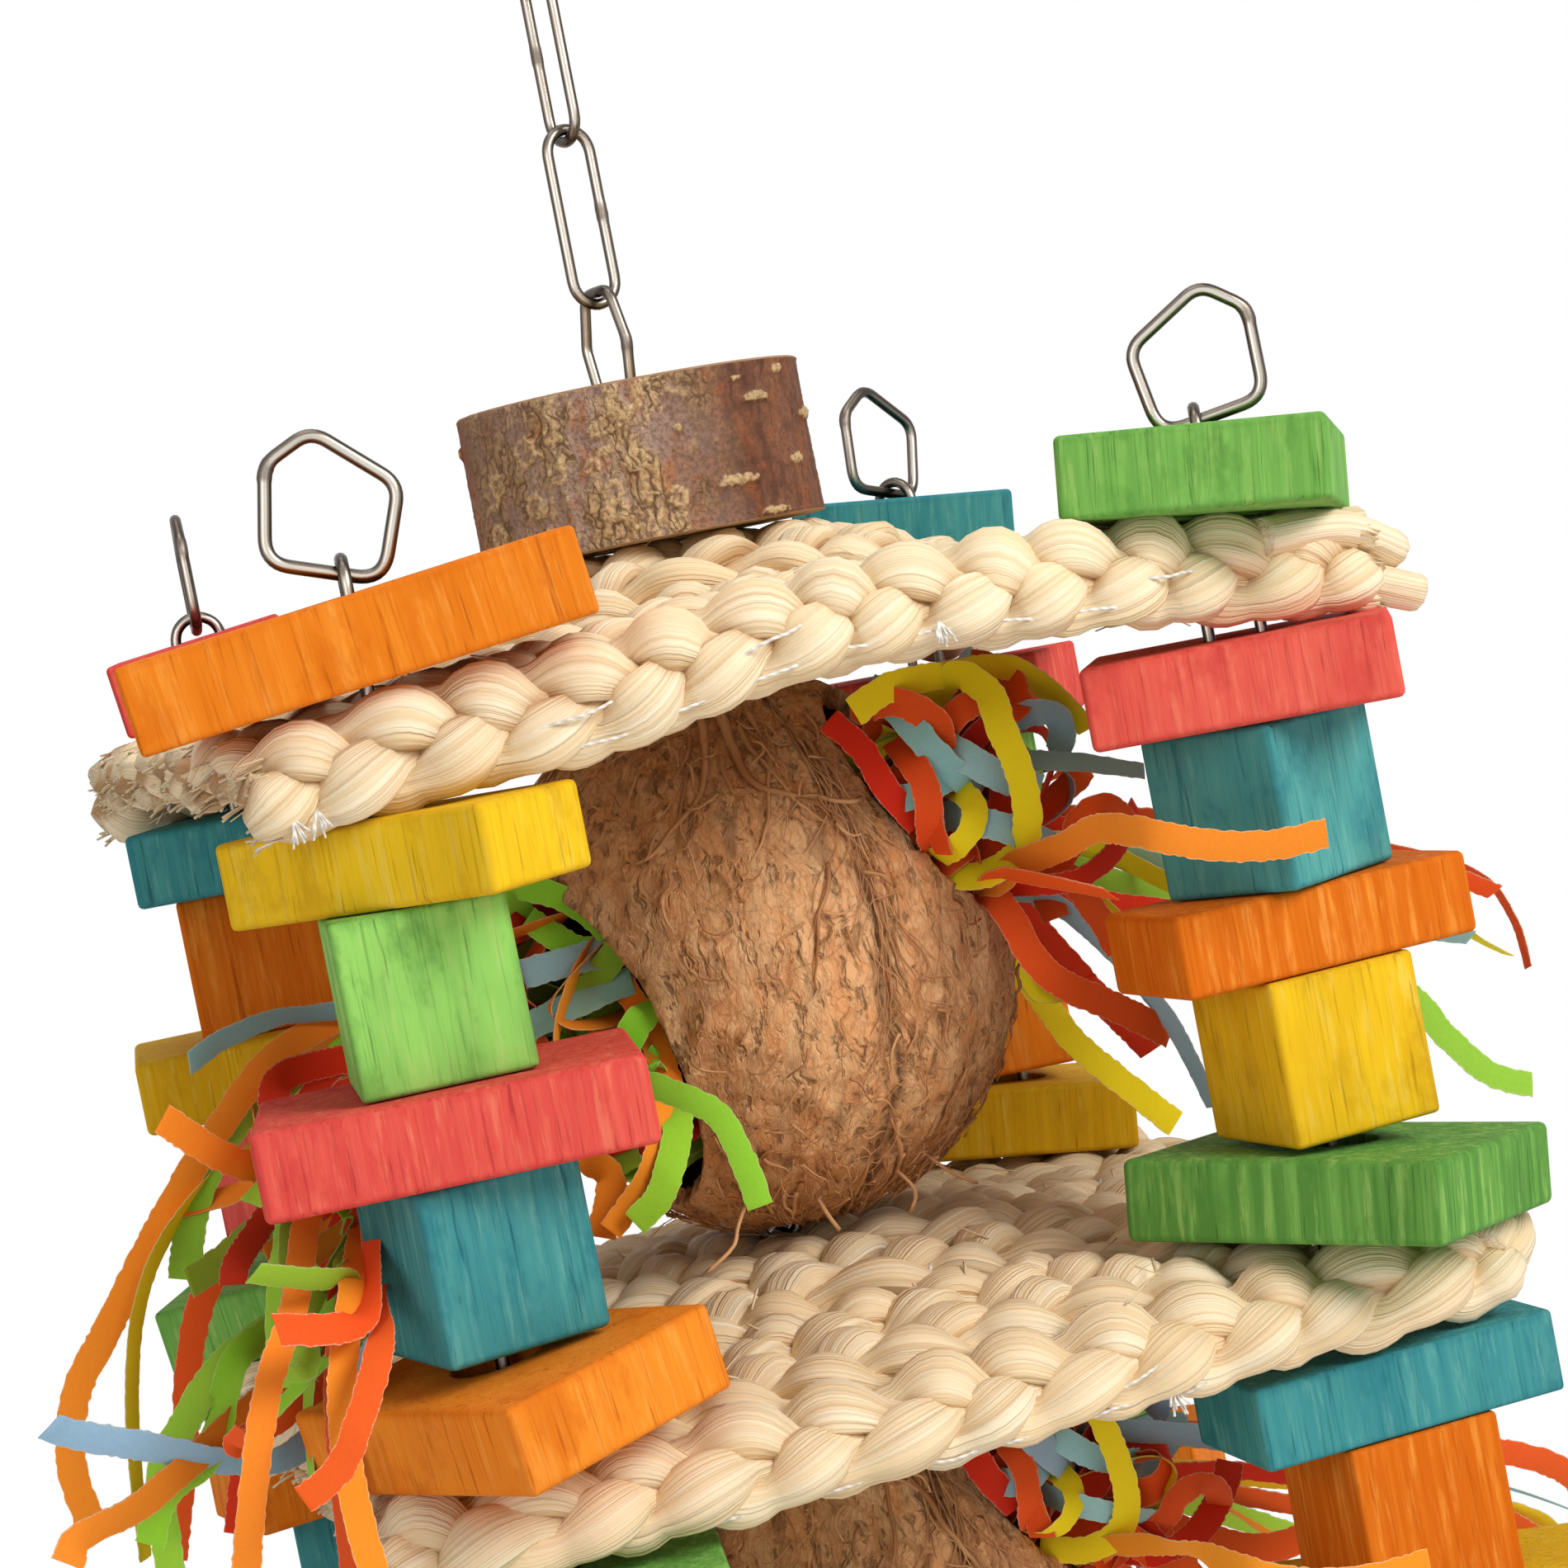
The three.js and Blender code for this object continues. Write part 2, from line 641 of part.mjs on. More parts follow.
for (const column of columns) {
  const x = towerShift + column.side * spacing;
  const y = column.face * spacing;
  addLeaningFlat(column, "top_flat", column.top, topMatLevel + matThickness / 2);
  addStack(column, column.tier.slice(0, 4), tierNames, tierTop);
  addLeaningFlat(column, "flat_3", column.tier[4], midMatLevel + matThickness / 2);
  addStack(column, column.tail, tailNames, tailTop);

  const lean = radians(column.ringLean);
  const topBar = ringSeat + (ringBar - ringEye) * Math.sin(lean); // keeps the low bend off the flat
  const eyeTop = topBar + barSeat / Math.cos(lean);
  const run = chainRun(eyeTop - (footBar - barSeat), column.ringTurn + 90);
  const chain = mesh(`${column.corner}_chain`, joined(run.links), steel(), toy);
  chain.position.set(x, y, eyeTop);
  const topRing = mesh(`${column.corner}_top_ring`, ringLoop(ringEye), steel(), toy);
  topRing.position.set(x, y, topBar);
  topRing.rotation.set(0, lean, radians(column.ringTurn), "ZYX");
  const hanging = ringLoop(0).rotateX(Math.PI);
  const footRing = mesh(`${column.corner}_foot_ring`, hanging, steel(), toy);
  footRing.position.set(x, y, footBar);
  footRing.rotation.z = radians(run.lastTurn + 90);
}

export default toy;
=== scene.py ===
import bpy
import bmesh
import random
from math import atan2, cos, exp, hypot, pi, radians, remainder, sin, sqrt, tan, tau
from mathutils import Matrix, Vector, noise


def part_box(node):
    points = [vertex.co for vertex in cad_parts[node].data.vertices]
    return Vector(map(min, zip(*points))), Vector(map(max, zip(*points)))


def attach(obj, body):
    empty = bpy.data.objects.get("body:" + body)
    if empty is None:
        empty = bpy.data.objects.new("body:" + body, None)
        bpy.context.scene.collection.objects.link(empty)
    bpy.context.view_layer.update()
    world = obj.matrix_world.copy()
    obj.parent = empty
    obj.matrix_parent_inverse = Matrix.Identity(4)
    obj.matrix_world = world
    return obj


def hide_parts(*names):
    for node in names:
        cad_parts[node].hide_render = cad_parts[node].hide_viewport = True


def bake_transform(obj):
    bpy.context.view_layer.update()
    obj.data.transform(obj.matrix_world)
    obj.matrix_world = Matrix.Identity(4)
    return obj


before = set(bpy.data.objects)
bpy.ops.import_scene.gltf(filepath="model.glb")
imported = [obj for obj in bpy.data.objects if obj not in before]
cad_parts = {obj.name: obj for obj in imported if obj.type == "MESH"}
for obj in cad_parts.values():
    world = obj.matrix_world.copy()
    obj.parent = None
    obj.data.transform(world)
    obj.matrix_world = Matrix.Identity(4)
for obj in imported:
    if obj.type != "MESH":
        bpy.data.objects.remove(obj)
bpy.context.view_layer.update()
mm = 0.001
noise.seed_set(1)  # noise_vector is otherwise offset by the clock

# Camera where the photograph was taken from, rolled as it was held
photoCamera = {"place": (-0.2488, -0.8370, -0.1951), "yaw": 18.0, "pitch": 3.22, "roll": -11.05, "lens": 81.47}


def addObject(name, data):
    thing = bpy.data.objects.new(name, data)
    bpy.context.scene.collection.objects.link(thing)
    return thing


def makeCamera(view):
    yaw, pitch, roll = (radians(view[key]) for key in ("yaw", "pitch", "roll"))
    ahead = Vector((sin(yaw) * cos(pitch), cos(yaw) * cos(pitch), -sin(pitch)))
    right = Vector((cos(yaw), -sin(yaw), 0))
    up = right.cross(ahead)
    side = right * cos(roll) + up * sin(roll)
    top = up * cos(roll) - right * sin(roll)
    data = bpy.data.cameras.new("photoCamera")
    data.lens, data.sensor_width = view["lens"], 36
    data.clip_start, data.clip_end = 0.01, 60
    camera = addObject("photoCamera", data)
    place = Matrix((side, top, -ahead)).transposed().to_4x4()
    place.translation = view["place"]
    camera.matrix_world = place
    bpy.context.scene.camera = camera


makeCamera(photoCamera)
print("camera set")


# Node helpers
def tone(red, green, blue):  # a colour as it looks on screen, 0 to 255
    def straight(value):
        value /= 255
        return value / 12.92 if value <= 0.04045 else ((value + 0.055) / 1.055) ** 2.4
    return (straight(red), straight(green), straight(blue), 1.0)


def put(tree, kind, inputs=None, **settings):
    node = tree.nodes.new("ShaderNode" + kind)
    for name, value in settings.items():
        setattr(node, name, value)
    for name, value in (inputs or {}).items():
        if isinstance(value, bpy.types.NodeSocket):
            tree.links.new(value, node.inputs[name])
        else:
            node.inputs[name].default_value = value
    return node


def mixed(tree, factor, first, second, how="MIX"):
    return put(tree, "MixRGB", {"Fac": factor, "Color1": first, "Color2": second}, blend_type=how).outputs[0]


def sums(tree, how, first, second):
    return put(tree, "Math", {0: first, 1: second}, operation=how).outputs[0]


def between(tree, value, low, high, lowOut=0.0, highOut=1.0):
    return put(tree, "MapRange", {"Value": value, "From Min": low, "From Max": high, "To Min": lowOut,
                                  "To Max": highOut}, interpolation_type="SMOOTHSTEP").outputs[0]


# Lays tones over a colour. A layer is (mask, share, tone), or (mask, low, high, tone), with shares for both ends or not
def layered(tree, colour, *layers):
    for mask, *spread, shade in layers:
        share = sums(tree, "MULTIPLY", mask, *spread) if len(spread) == 1 else between(tree, mask, *spread)
        colour = mixed(tree, share, colour, tone(*shade))
    return colour


def stretched(tree, vector, x, y, z):
    return put(tree, "Mapping", {"Vector": vector, "Scale": (x, y, z)}).outputs[0]


def speckle(tree, vector, scale, seed=0.0, detail=3.0, rough=0.55):
    return put(tree, "TexNoise", {"Vector": stretched(tree, vector, *scale), "W": seed, "Scale": 1.0, "Detail": detail,
                                  "Roughness": rough}, noise_dimensions="4D").outputs["Fac"]


def warped(tree, vector, scale, amount):  # bends a pattern by a soft noise
    bend = put(tree, "TexNoise", {"Vector": vector, "Scale": scale, "Detail": 2.0}).outputs["Color"]
    shift = put(tree, "VectorMath", {0: bend, 1: (0.5, 0.5, 0.5)}, operation="SUBTRACT").outputs[0]
    grown = put(tree, "VectorMath", {0: shift, "Scale": amount}, operation="SCALE").outputs[0]
    return put(tree, "VectorMath", {0: vector, 1: grown}, operation="ADD").outputs[0]


def readAttribute(tree, name, output):
    return put(tree, "Attribute", attribute_name=name).outputs[output]


def makeGroup(name, inputs, outputs):
    tree = bpy.data.node_groups.new(name, "ShaderNodeTree")
    for label, kind in inputs:
        tree.interface.new_socket(label, in_out="INPUT", socket_type="NodeSocket" + kind)
    for label, kind in outputs:
        tree.interface.new_socket(label, in_out="OUTPUT", socket_type="NodeSocket" + kind)
    return tree, tree.nodes.new("NodeGroupInput").outputs, tree.nodes.new("NodeGroupOutput").inputs


def newMaterial(name, **fixed):
    material = bpy.data.materials.new(name)
    material.use_nodes = True
    tree = material.node_tree
    for socket, value in fixed.items():
        tree.nodes["Principled BSDF"].inputs[socket.replace("_", " ")].default_value = value
    return material, tree


def feed(material, colour, rough=None, height=None, strength=0.4, depth=0.0005):
    tree = material.node_tree
    shader = tree.nodes["Principled BSDF"].inputs
    tree.links.new(colour, shader["Base Color"])
    if rough is not None:
        tree.links.new(rough, shader["Roughness"])
    if height is not None:
        bump = put(tree, "Bump", {"Strength": strength, "Distance": depth, "Height": height})
        tree.links.new(bump.outputs[0], shader["Normal"])
    return material


# Shared effects: runs of fibre or grain along z, and the wear on the edges of a block
def makeFibreGroup():
    tree, given, out = makeGroup(
        "fibreRuns", [("Vector", "Vector"), ("Seed", "Float"), ("Coarse", "Float"), ("Length", "Float")],
        [("Streak", "Float"), ("Fine", "Float"), ("Pores", "Float"), ("Cloud", "Float")])
    def run(across, along, detail):
        sideways = sums(tree, "MULTIPLY", given["Coarse"], across)
        lengthways = sums(tree, "DIVIDE", along, given["Length"])
        scale = put(tree, "CombineXYZ", {"X": sideways, "Y": sideways, "Z": lengthways}).outputs[0]
        vector = put(tree, "VectorMath", {0: given["Vector"], 1: scale}, operation="MULTIPLY").outputs[0]
        return speckle(tree, vector, (1, 1, 1), given["Seed"], detail)
    tree.links.new(run(260, 10, 4), out["Streak"])
    tree.links.new(run(900, 34, 2), out["Fine"])
    tree.links.new(between(tree, run(520, 42, 2), 0.60, 0.72), out["Pores"])
    tree.links.new(between(tree, run(34, 18, 3), 0.38, 0.66), out["Cloud"])
    return tree


def makeEdgeGroup():
    tree, given, out = makeGroup(
        "edgeWear", [("Spot", "Vector"), ("Reach", "Vector"), ("Seed", "Float"), ("Width", "Float")],
        [("Mask", "Float")])
    size = put(tree, "VectorMath", {0: given["Spot"]}, operation="ABSOLUTE").outputs[0]
    left = put(tree, "VectorMath", {0: given["Reach"], 1: size}, operation="SUBTRACT").outputs[0]
    x, y, z = put(tree, "SeparateXYZ", {"Vector": left}).outputs
    low, high = sums(tree, "MINIMUM", x, y), sums(tree, "MAXIMUM", x, y)
    second = sums(tree, "MAXIMUM", low, sums(tree, "MINIMUM", high, z))  # distance to the nearest edge
    ragged = speckle(tree, given["Spot"], (160, 160, 160), given["Seed"], 3)
    width = sums(tree, "MULTIPLY", given["Width"], sums(tree, "MULTIPLY", ragged, 2.0))
    worn = put(tree, "MapRange", {"Value": second, "From Min": 0.0, "From Max": width, "To Min": 1.0,
                                  "To Max": 0.0}).outputs[0]
    tree.links.new(worn, out["Mask"])
    return tree


fibreGroup = makeFibreGroup()
edgeGroup = makeEdgeGroup()


def fibreRuns(tree, vector, seed=0.0, coarse=1.0, length=1.0):
    return put(tree, "Group", {"Vector": vector, "Seed": seed, "Coarse": coarse, "Length": length},
               node_tree=fibreGroup).outputs


# Finishes
woodDyes = {
    "red": ((146, 28, 36), (222, 82, 72), (242, 114, 92), (200, 58, 54), (244, 140, 108)),
    "orange": ((158, 64, 4), (230, 126, 24), (246, 150, 46), (208, 100, 10), (248, 170, 76)),
    "yellow": ((144, 100, 6), (228, 178, 20), (242, 198, 32), (198, 148, 20), (238, 206, 92)),
    "green": ((48, 90, 36), (114, 172, 78), (150, 208, 100), (80, 132, 54), (178, 212, 116)),
    "blue": ((12, 66, 80), (64, 142, 144), (94, 168, 158), (32, 108, 120), (122, 184, 170)),
}  # dark pores, usual tone, light streaks, soaked patches, thinly dyed streaks


def makeDyedWood(name, dark, base, light, soaked, thin):
    material, tree = newMaterial(name, Specular_IOR_Level=0.1)
    spot, seed = readAttribute(tree, "woodSpot", "Vector"), readAttribute(tree, "woodSeed", "Fac")
    pale = readAttribute(tree, "woodPale", "Fac")  # 0 for a deeply dyed block, 1 for a pale one
    grain = fibreRuns(tree, spot, seed, 1.6, 0.9)
    edges = put(tree, "Group", {"Spot": spot, "Reach": readAttribute(tree, "woodReach", "Vector"), "Seed": seed,
                                "Width": 0.0022}, node_tree=edgeGroup).outputs["Mask"]
    blotch = speckle(tree, spot, (95, 95, 55), seed, 4, 0.65)
    bare = speckle(tree, spot, (420, 420, 48), sums(tree, "ADD", seed, 4.3), 4, 0.65)
    colour = layered(
        tree, tone(*soaked), (pale, 0.0, 0.5, base), (pale, 0.5, 1.0, light),
        (grain["Streak"], 0.42, 0.72, 0.0, 0.5, light), (bare, 0.5, 0.68, 0.0, 0.5, thin),
        (blotch, 0.5, 0.68, 0.0, 0.55, soaked), (grain["Cloud"], 0.3, soaked),
        (grain["Fine"], 0.52, 0.75, 0.0, 0.34, dark), (grain["Pores"], 0.5, dark), (edges, 0.5, soaked))
    rough = between(tree, grain["Fine"], 0.2, 0.8, 0.6, 0.85)
    height = sums(tree, "SUBTRACT", sums(tree, "MULTIPLY", grain["Streak"], 0.7), grain["Pores"])
    return feed(material, colour, rough, height, 0.4, 0.0003)


def makeHusk(name, fibreLineAndCreaseShade, base, light):
    material, tree = newMaterial(name, Specular_IOR_Level=0.2)
    along = readAttribute(tree, "runSpot", "Vector")  # metres round the strand, and along it in z
    seed, out = readAttribute(tree, "runSeed", "Fac"), readAttribute(tree, "runOut", "Fac")
    fibre = fibreRuns(tree, along, seed, 1.7, 3.0)
    # the crease tone colours the fine fibre lines, and also lies as painted shade in the creases where runOut is small,
    # near a plait's core
    colour = layered(tree, tone(*base), (fibre["Streak"], 0.3, 0.7, light),
                     (fibre["Fine"], 0.5, 0.72, 0.0, 0.4, fibreLineAndCreaseShade), (fibre["Cloud"], 0.3, (232, 194, 140)),
                     (out, 0.26, 0.64, 0.85, 0.0, fibreLineAndCreaseShade))
    height = sums(tree, "ADD", fibre["Streak"], sums(tree, "MULTIPLY", fibre["Fine"], 0.8))
    return feed(material, colour, between(tree, fibre["Fine"], 0.2, 0.8, 0.5, 0.7), height, 0.9, 0.0012)


def makeThread():
    material, tree = newMaterial("cottonThread", Roughness=0.9)
    along = readAttribute(tree, "runSpot", "Vector")
    twist = put(tree, "TexWave", {"Vector": along, "Scale": 240.0, "Distortion": 1.5, "Detail": 2.0},
                bands_direction="DIAGONAL").outputs["Fac"]
    colour = mixed(tree, twist, tone(214, 205, 190), tone(242, 237, 228))
    return feed(material, colour, None, twist, 0.6, 0.0003)


def makeBark():
    material, tree = newMaterial("barkSkin", Specular_IOR_Level=0.25)
    spot = readAttribute(tree, "barkSpot", "Vector")  # place on the log before it was made rough
    flaky, raised = readAttribute(tree, "barkFlake", "Fac"), readAttribute(tree, "barkRise", "Fac")
    bent = warped(tree, spot, 160, 0.008)
    runs = fibreRuns(tree, bent, 3.0, 0.8, 0.8)
    stains = speckle(tree, bent, (150, 150, 90), 8.0, 3)
    patches = speckle(tree, bent, (120, 120, 60), 5.0, 4)
    plates = put(tree, "TexVoronoi", {"Vector": stretched(tree, bent, 330, 330, 120), "Scale": 1.0},
                 feature="DISTANCE_TO_EDGE").outputs["Distance"]
    torn = between(tree, patches, 0.42, 0.56)  # where the bark has come up in plates
    # the middle of each torn plate, away from its cracks, gets a painted highlight
    cracks, crownHighlight = between(tree, plates, 0.02, 0.09, 0.75, 0.0), between(tree, plates, 0.2, 0.45, 0.0, 0.5)
    grit = speckle(tree, spot, (900, 900, 900), 1.0, 4)
    smooth = layered(tree, tone(86, 50, 36), (runs["Streak"], 0.3, 0.7, (146, 96, 70)),
                     (stains, 0.52, 0.66, 0.0, 0.6, (158, 90, 54)), (stains, 0.3, 0.44, 0.7, 0.0, (82, 48, 40)))
    rough = layered(tree, tone(172, 143, 128), (patches, 0.4, 0.58, (206, 170, 124)),
                    (runs["Streak"], 0.45, 0.7, 0.0, 0.6, (138, 102, 74)),
                    (stains, 0.56, 0.68, 0.0, 0.6, (186, 118, 66)),
                    (torn, cracks, (84, 58, 38)), (torn, crownHighlight, (212, 178, 130)))
    colour = layered(tree, mixed(tree, flaky, smooth, rough), (raised, 0.35, 0.7, 0.0, 0.8, (222, 188, 138)),
                     (grit, 0.35, 0.6, 0.55, 0.0, (84, 58, 42)))
    steps = sums(tree, "MULTIPLY", sums(tree, "MULTIPLY", flaky, torn), between(tree, plates, 0.0, 0.2))
    height = sums(tree, "ADD", steps, sums(tree, "MULTIPLY", grit, 1.1))
    return feed(material, colour, between(tree, grit, 0.2, 0.8, 0.65, 0.9), height, 0.85, 0.0007)


def makeSawnEnd():
    material, tree = newMaterial("sawnEnd", Specular_IOR_Level=0.2, Roughness=0.85)
    spot = put(tree, "TexCoord").outputs["Object"]
    centred = put(tree, "Mapping", {"Vector": spot, "Location": (-0.003, 0, 0), "Scale": (1, 1, 0)}).outputs[0]
    rings = put(tree, "TexWave", {"Vector": centred, "Scale": 150.0, "Distortion": 5.0, "Detail": 3.0,
                                  "Detail Scale": 1.2}, wave_type="RINGS", rings_direction="SPHERICAL").outputs["Fac"]
    saw = speckle(tree, spot, (60, 900, 60), 2.0, 3)
    heart = speckle(tree, spot, (45, 45, 45), 3.0, 3)
    reach = put(tree, "VectorMath", {0: centred}, operation="LENGTH").outputs["Value"]  # to the bark's cut edge
    colour = layered(tree, mixed(tree, rings, tone(206, 172, 130), tone(222, 194, 154)),
                     (heart, 0.45, 0.7, 0.0, 0.5, (186, 146, 104)), (saw, 0.5, 0.75, 0.0, 0.55, (150, 112, 78)),
                     (reach, 0.0395, 0.0425, 0.0, 0.85, (150, 112, 84)))
    return feed(material, colour, None, sums(tree, "ADD", sums(tree, "MULTIPLY", rings, 0.4), saw), 0.4, 0.0004)


def makeCoir(name, dark, base, light):
    material, tree = newMaterial(name, Specular_IOR_Level=0.1)
    spot = put(tree, "TexCoord").outputs["Object"]
    bent = warped(tree, spot, 140, 0.006)
    runs = fibreRuns(tree, bent, 5.0, 0.7, 1.1)
    fuzz = speckle(tree, bent, (900, 900, 380), 2.0, 5, 0.72)
    flakes = put(tree, "TexVoronoi", {"Vector": stretched(tree, bent, 520, 520, 130), "Scale": 1.0},
                 feature="DISTANCE_TO_EDGE").outputs["Distance"]
    strands = speckle(tree, bent, (420, 420, 40), 4.0, 4)
    gaps = speckle(tree, bent, (380, 380, 110), 6.0, 3)
    grooves = speckle(tree, warped(tree, spot, 60, 0.008), (150, 150, 18), 9.0, 3)
    seam = readAttribute(tree, "coirSeam", "Fac")
    colour = layered(
        tree, tone(*base), (runs["Streak"], 0.32, 0.68, light), (runs["Cloud"], 0.5, (172, 104, 60)),
        (flakes, 0.02, 0.1, 0.3, 0.0, dark), (strands, 0.54, 0.72, 0.0, 0.6, dark),
        (gaps, 0.36, 0.44, 0.55, 0.0, (106, 66, 38)), (fuzz, 0.5, 0.64, 0.0, 0.8, light),
        (fuzz, 0.3, 0.42, 0.5, 0.0, dark), (grooves, 0.54, 0.68, 0.0, 0.55, (126, 88, 62)),
        (seam, between(tree, strands, 0.35, 0.6, 0.3, 1.0), (92, 70, 54)))
    height = sums(tree, "ADD", fuzz, sums(tree, "MULTIPLY", between(tree, gaps, 0.34, 0.48), 1.2))
    return feed(material, colour, between(tree, fuzz, 0.3, 0.7, 0.8, 0.95), height, 0.8, 0.0011)


def makeHair():
    material, tree = newMaterial("coirHair", Specular_IOR_Level=0.25, Roughness=0.7)
    along, seed = readAttribute(tree, "runSpot", "Vector"), readAttribute(tree, "runSeed", "Fac")
    tint = speckle(tree, along, (30, 30, 30), seed, 2)
    fine = speckle(tree, along, (2500, 2500, 300), seed, 2)
    colour = layered(tree, tone(170, 112, 68), (tint, 0.3, 0.7, (232, 178, 124)),
                     (fine, 0.5, 0.8, 0.0, 0.5, (124, 78, 46)))
    return feed(material, colour, None, fine, 0.5, 0.0002)


def makeInsideShell():
    material, tree = newMaterial("shellInside", Specular_IOR_Level=0.3)
    mottle = speckle(tree, put(tree, "TexCoord").outputs["Object"], (150, 150, 150), 1.0, 5)
    colour = layered(tree, tone(62, 38, 26), (mottle, 0.35, 0.65, (112, 72, 46)))
    return feed(material, colour, between(tree, mottle, 0.2, 0.8, 0.5, 0.75), mottle, 0.5, 0.0006)


def makePaper():
    material, tree = newMaterial("dyedPaper", Specular_IOR_Level=0.2, Subsurface_Weight=0.2, Subsurface_Scale=0.002,
                                         Subsurface_Radius=(1, 1, 1))
    dye = readAttribute(tree, "paperDye", "Color")
    cross = readAttribute(tree, "paperCross", "Vector")  # metres along the strip, then -1 to 1 across it
    across = sums(tree, "ABSOLUTE", put(tree, "SeparateXYZ", {"Vector": cross}).outputs["Y"], 0.0)
    fuzz = speckle(tree, cross, (1400, 6, 1), 1.0, 3)
    edge = sums(tree, "ADD", across, sums(tree, "MULTIPLY", fuzz, 0.28))
    pulp = speckle(tree, cross, (700, 3.0, 1), 7.0, 5, 0.7)
    colour = mixed(tree, between(tree, pulp, 0.3, 0.7, 0.0, 0.22), dye, tone(255, 246, 226), "SOFT_LIGHT")
    colour = layered(tree, colour, (edge, 1.06, 1.16, 0.0, 0.4, (250, 232, 196)))  # torn edges show white fibre
    return feed(material, colour, between(tree, pulp, 0.2, 0.8, 0.75, 0.95), pulp, 0.25, 0.0003)


def makeSteel():
    material, tree = newMaterial("chainSteel", Metallic=1.0)
    along, seed = readAttribute(tree, "runSpot", "Vector"), readAttribute(tree, "runSeed", "Fac")
    weld = readAttribute(tree, "runOut", "Fac")
    stain = speckle(tree, along, (90, 90, 40), seed, 3)
    facing = put(tree, "LayerWeight", {"Blend": 0.5}).outputs["Facing"]  # painted highlight down the middle of the round wire, painted shade towards its edges
    # the first tone is the painted highlight and the next two paint the shade towards the wire's edges; stain and weld
    # are the steel's own marks
    colour = layered(tree, tone(220, 212, 200), (facing, 0.01, 0.1, (134, 124, 112)),
                     (facing, 0.12, 0.38, (68, 60, 52)), (stain, 0.42, 0.7, 0.0, 0.4, (122, 110, 98)),
                     (weld, 0.7, (96, 84, 74)))
    rough = sums(tree, "ADD", between(tree, stain, 0.3, 0.7, 0.22, 0.34), sums(tree, "MULTIPLY", weld, 0.2))
    return feed(material, colour, rough, stain, 0.05, 0.0002)


woods = {colour: makeDyedWood("dyedWood_" + colour, *dyes) for colour, dyes in woodDyes.items()}
husk = makeHusk("braidedHusk", (184, 136, 84), (236, 208, 164), (250, 234, 202))
thread = makeThread()
bark, sawnEnd = makeBark(), makeSawnEnd()
coir = makeCoir("coconutCoir", (150, 90, 54), (244, 172, 112), (254, 204, 150))
hair, shellInside, paper, steel = makeHair(), makeInsideShell(), makePaper(), makeSteel()
print("finishes made:", len(bpy.data.materials))


# Modelling helpers
def smoothPath(points, spacing, closed=False):
    points = [Vector(point) for point in points]
    count = len(points)
    dense = []
    for k in range(count if closed else count - 1):
        if closed:
            a, b, c, d = (points[(k + s) % count] for s in (-1, 0, 1, 2))
        else:
            a, b, c, d = (points[min(max(k + s, 0), count - 1)] for s in (-1, 0, 1, 2))
        for step in range(12):
            t = step / 12
            dense.append(0.5 * (2 * b + (c - a) * t + (2 * a - 5 * b + 4 * c - d) * t * t
                                + (3 * b - a - 3 * c + d) * t ** 3))
    dense.append(points[0] if closed else points[-1])
    return evenPath(dense, spacing, closed)


def evenPath(dense, spacing, closed=False):
    lengths = [0.0]
    for before, after in zip(dense, dense[1:]):
        lengths.append(lengths[-1] + (after - before).length)
    steps = max(3, round(lengths[-1] / spacing))
    path, k = [], 0
    for step in range(steps if closed else steps + 1):
        goal = lengths[-1] * step / steps
        while k < len(lengths) - 2 and lengths[k + 1] < goal:
            k += 1
        span = max(lengths[k + 1] - lengths[k], 1e-12)
        path.append(dense[k].lerp(dense[k + 1], min(1.0, (goal - lengths[k]) / span)))
    return path


def runFrames(path, closed=False, up=None):
    count, frames, normal = len(path), [], None
    for i, point in enumerate(path):
        before = path[i - 1] if i or closed else path[0]
        after = path[(i + 1) % count] if i < count - 1 or closed else path[-1]
        ahead = (after - before).normalized()
        if up is not None:
            normal = up
        elif normal is None:
            normal = Vector((0, 0, 1)) if abs(ahead.z) < 0.9 else Vector((1, 0, 0))
        normal = (normal - ahead * normal.dot(ahead)).normalized()
        frames.append((point, ahead, normal, ahead.cross(normal)))
    return frames


def startMesh():
    bm = bmesh.new()
    layers = {"spot": bm.verts.layers.float_vector.new("runSpot"), "seed": bm.verts.layers.float.new("runSeed"),
              "out": bm.verts.layers.float.new("runOut")}
    return bm, layers


# A wire, strand or hair: a grid rolled round its path. shape gives (wide, thick, out) at a step and angle.
def addRun(bm, layers, path, wide, thick, sides, seed=0.0, closed=False, up=None, shape=None):
    frames = runFrames(path, closed, up)
    along = len(path) if closed else len(path) - 1
    step = (path[1] - path[0]).length
    for vert in bmesh.ops.create_grid(bm, x_segments=along, y_segments=sides, size=0.5)["verts"]:
        i, turn = round((vert.co.x + 0.5) * along), round((vert.co.y + 0.5) * sides) % sides * tau / sides
        point, ahead, normal, side = frames[i % len(path)]
        w, h, out = (wide, thick, 0.0) if shape is None else shape(i, turn)
        vert[layers["spot"]] = (wide * cos(turn), thick * sin(turn), i * step)
        vert[layers["seed"]] = seed
        vert[layers["out"]] = out
        vert.co = point + side * (w * cos(turn)) + normal * (h * sin(turn))


def newPiece(name, bm, materials, body, nodes=(), smooth=True):
    mesh = bpy.data.meshes.new(name)
    for face in bm.faces:
        face.smooth = smooth
    bm.to_mesh(mesh)
    bm.free()
    for material in materials:
        mesh.materials.append(material)
    piece = addObject(name, mesh)
    if body:
        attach(piece, body)
    if nodes:
        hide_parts(*nodes)
    return piece


def newRuns(name, bm, material, body, nodes=()):  # a piece made of runs, closed at their ends
    bmesh.ops.remove_doubles(bm, verts=bm.verts, dist=1e-7)
    bmesh.ops.holes_fill(bm, edges=[edge for edge in bm.edges if edge.is_boundary], sides=0)
    bmesh.ops.recalc_face_normals(bm, faces=bm.faces)
    newPiece(name, bm, [material], body, nodes)


def evenNormals(piece):
    piece.modifiers.new("faceNormals", "WEIGHTED_NORMAL").keep_sharp = True


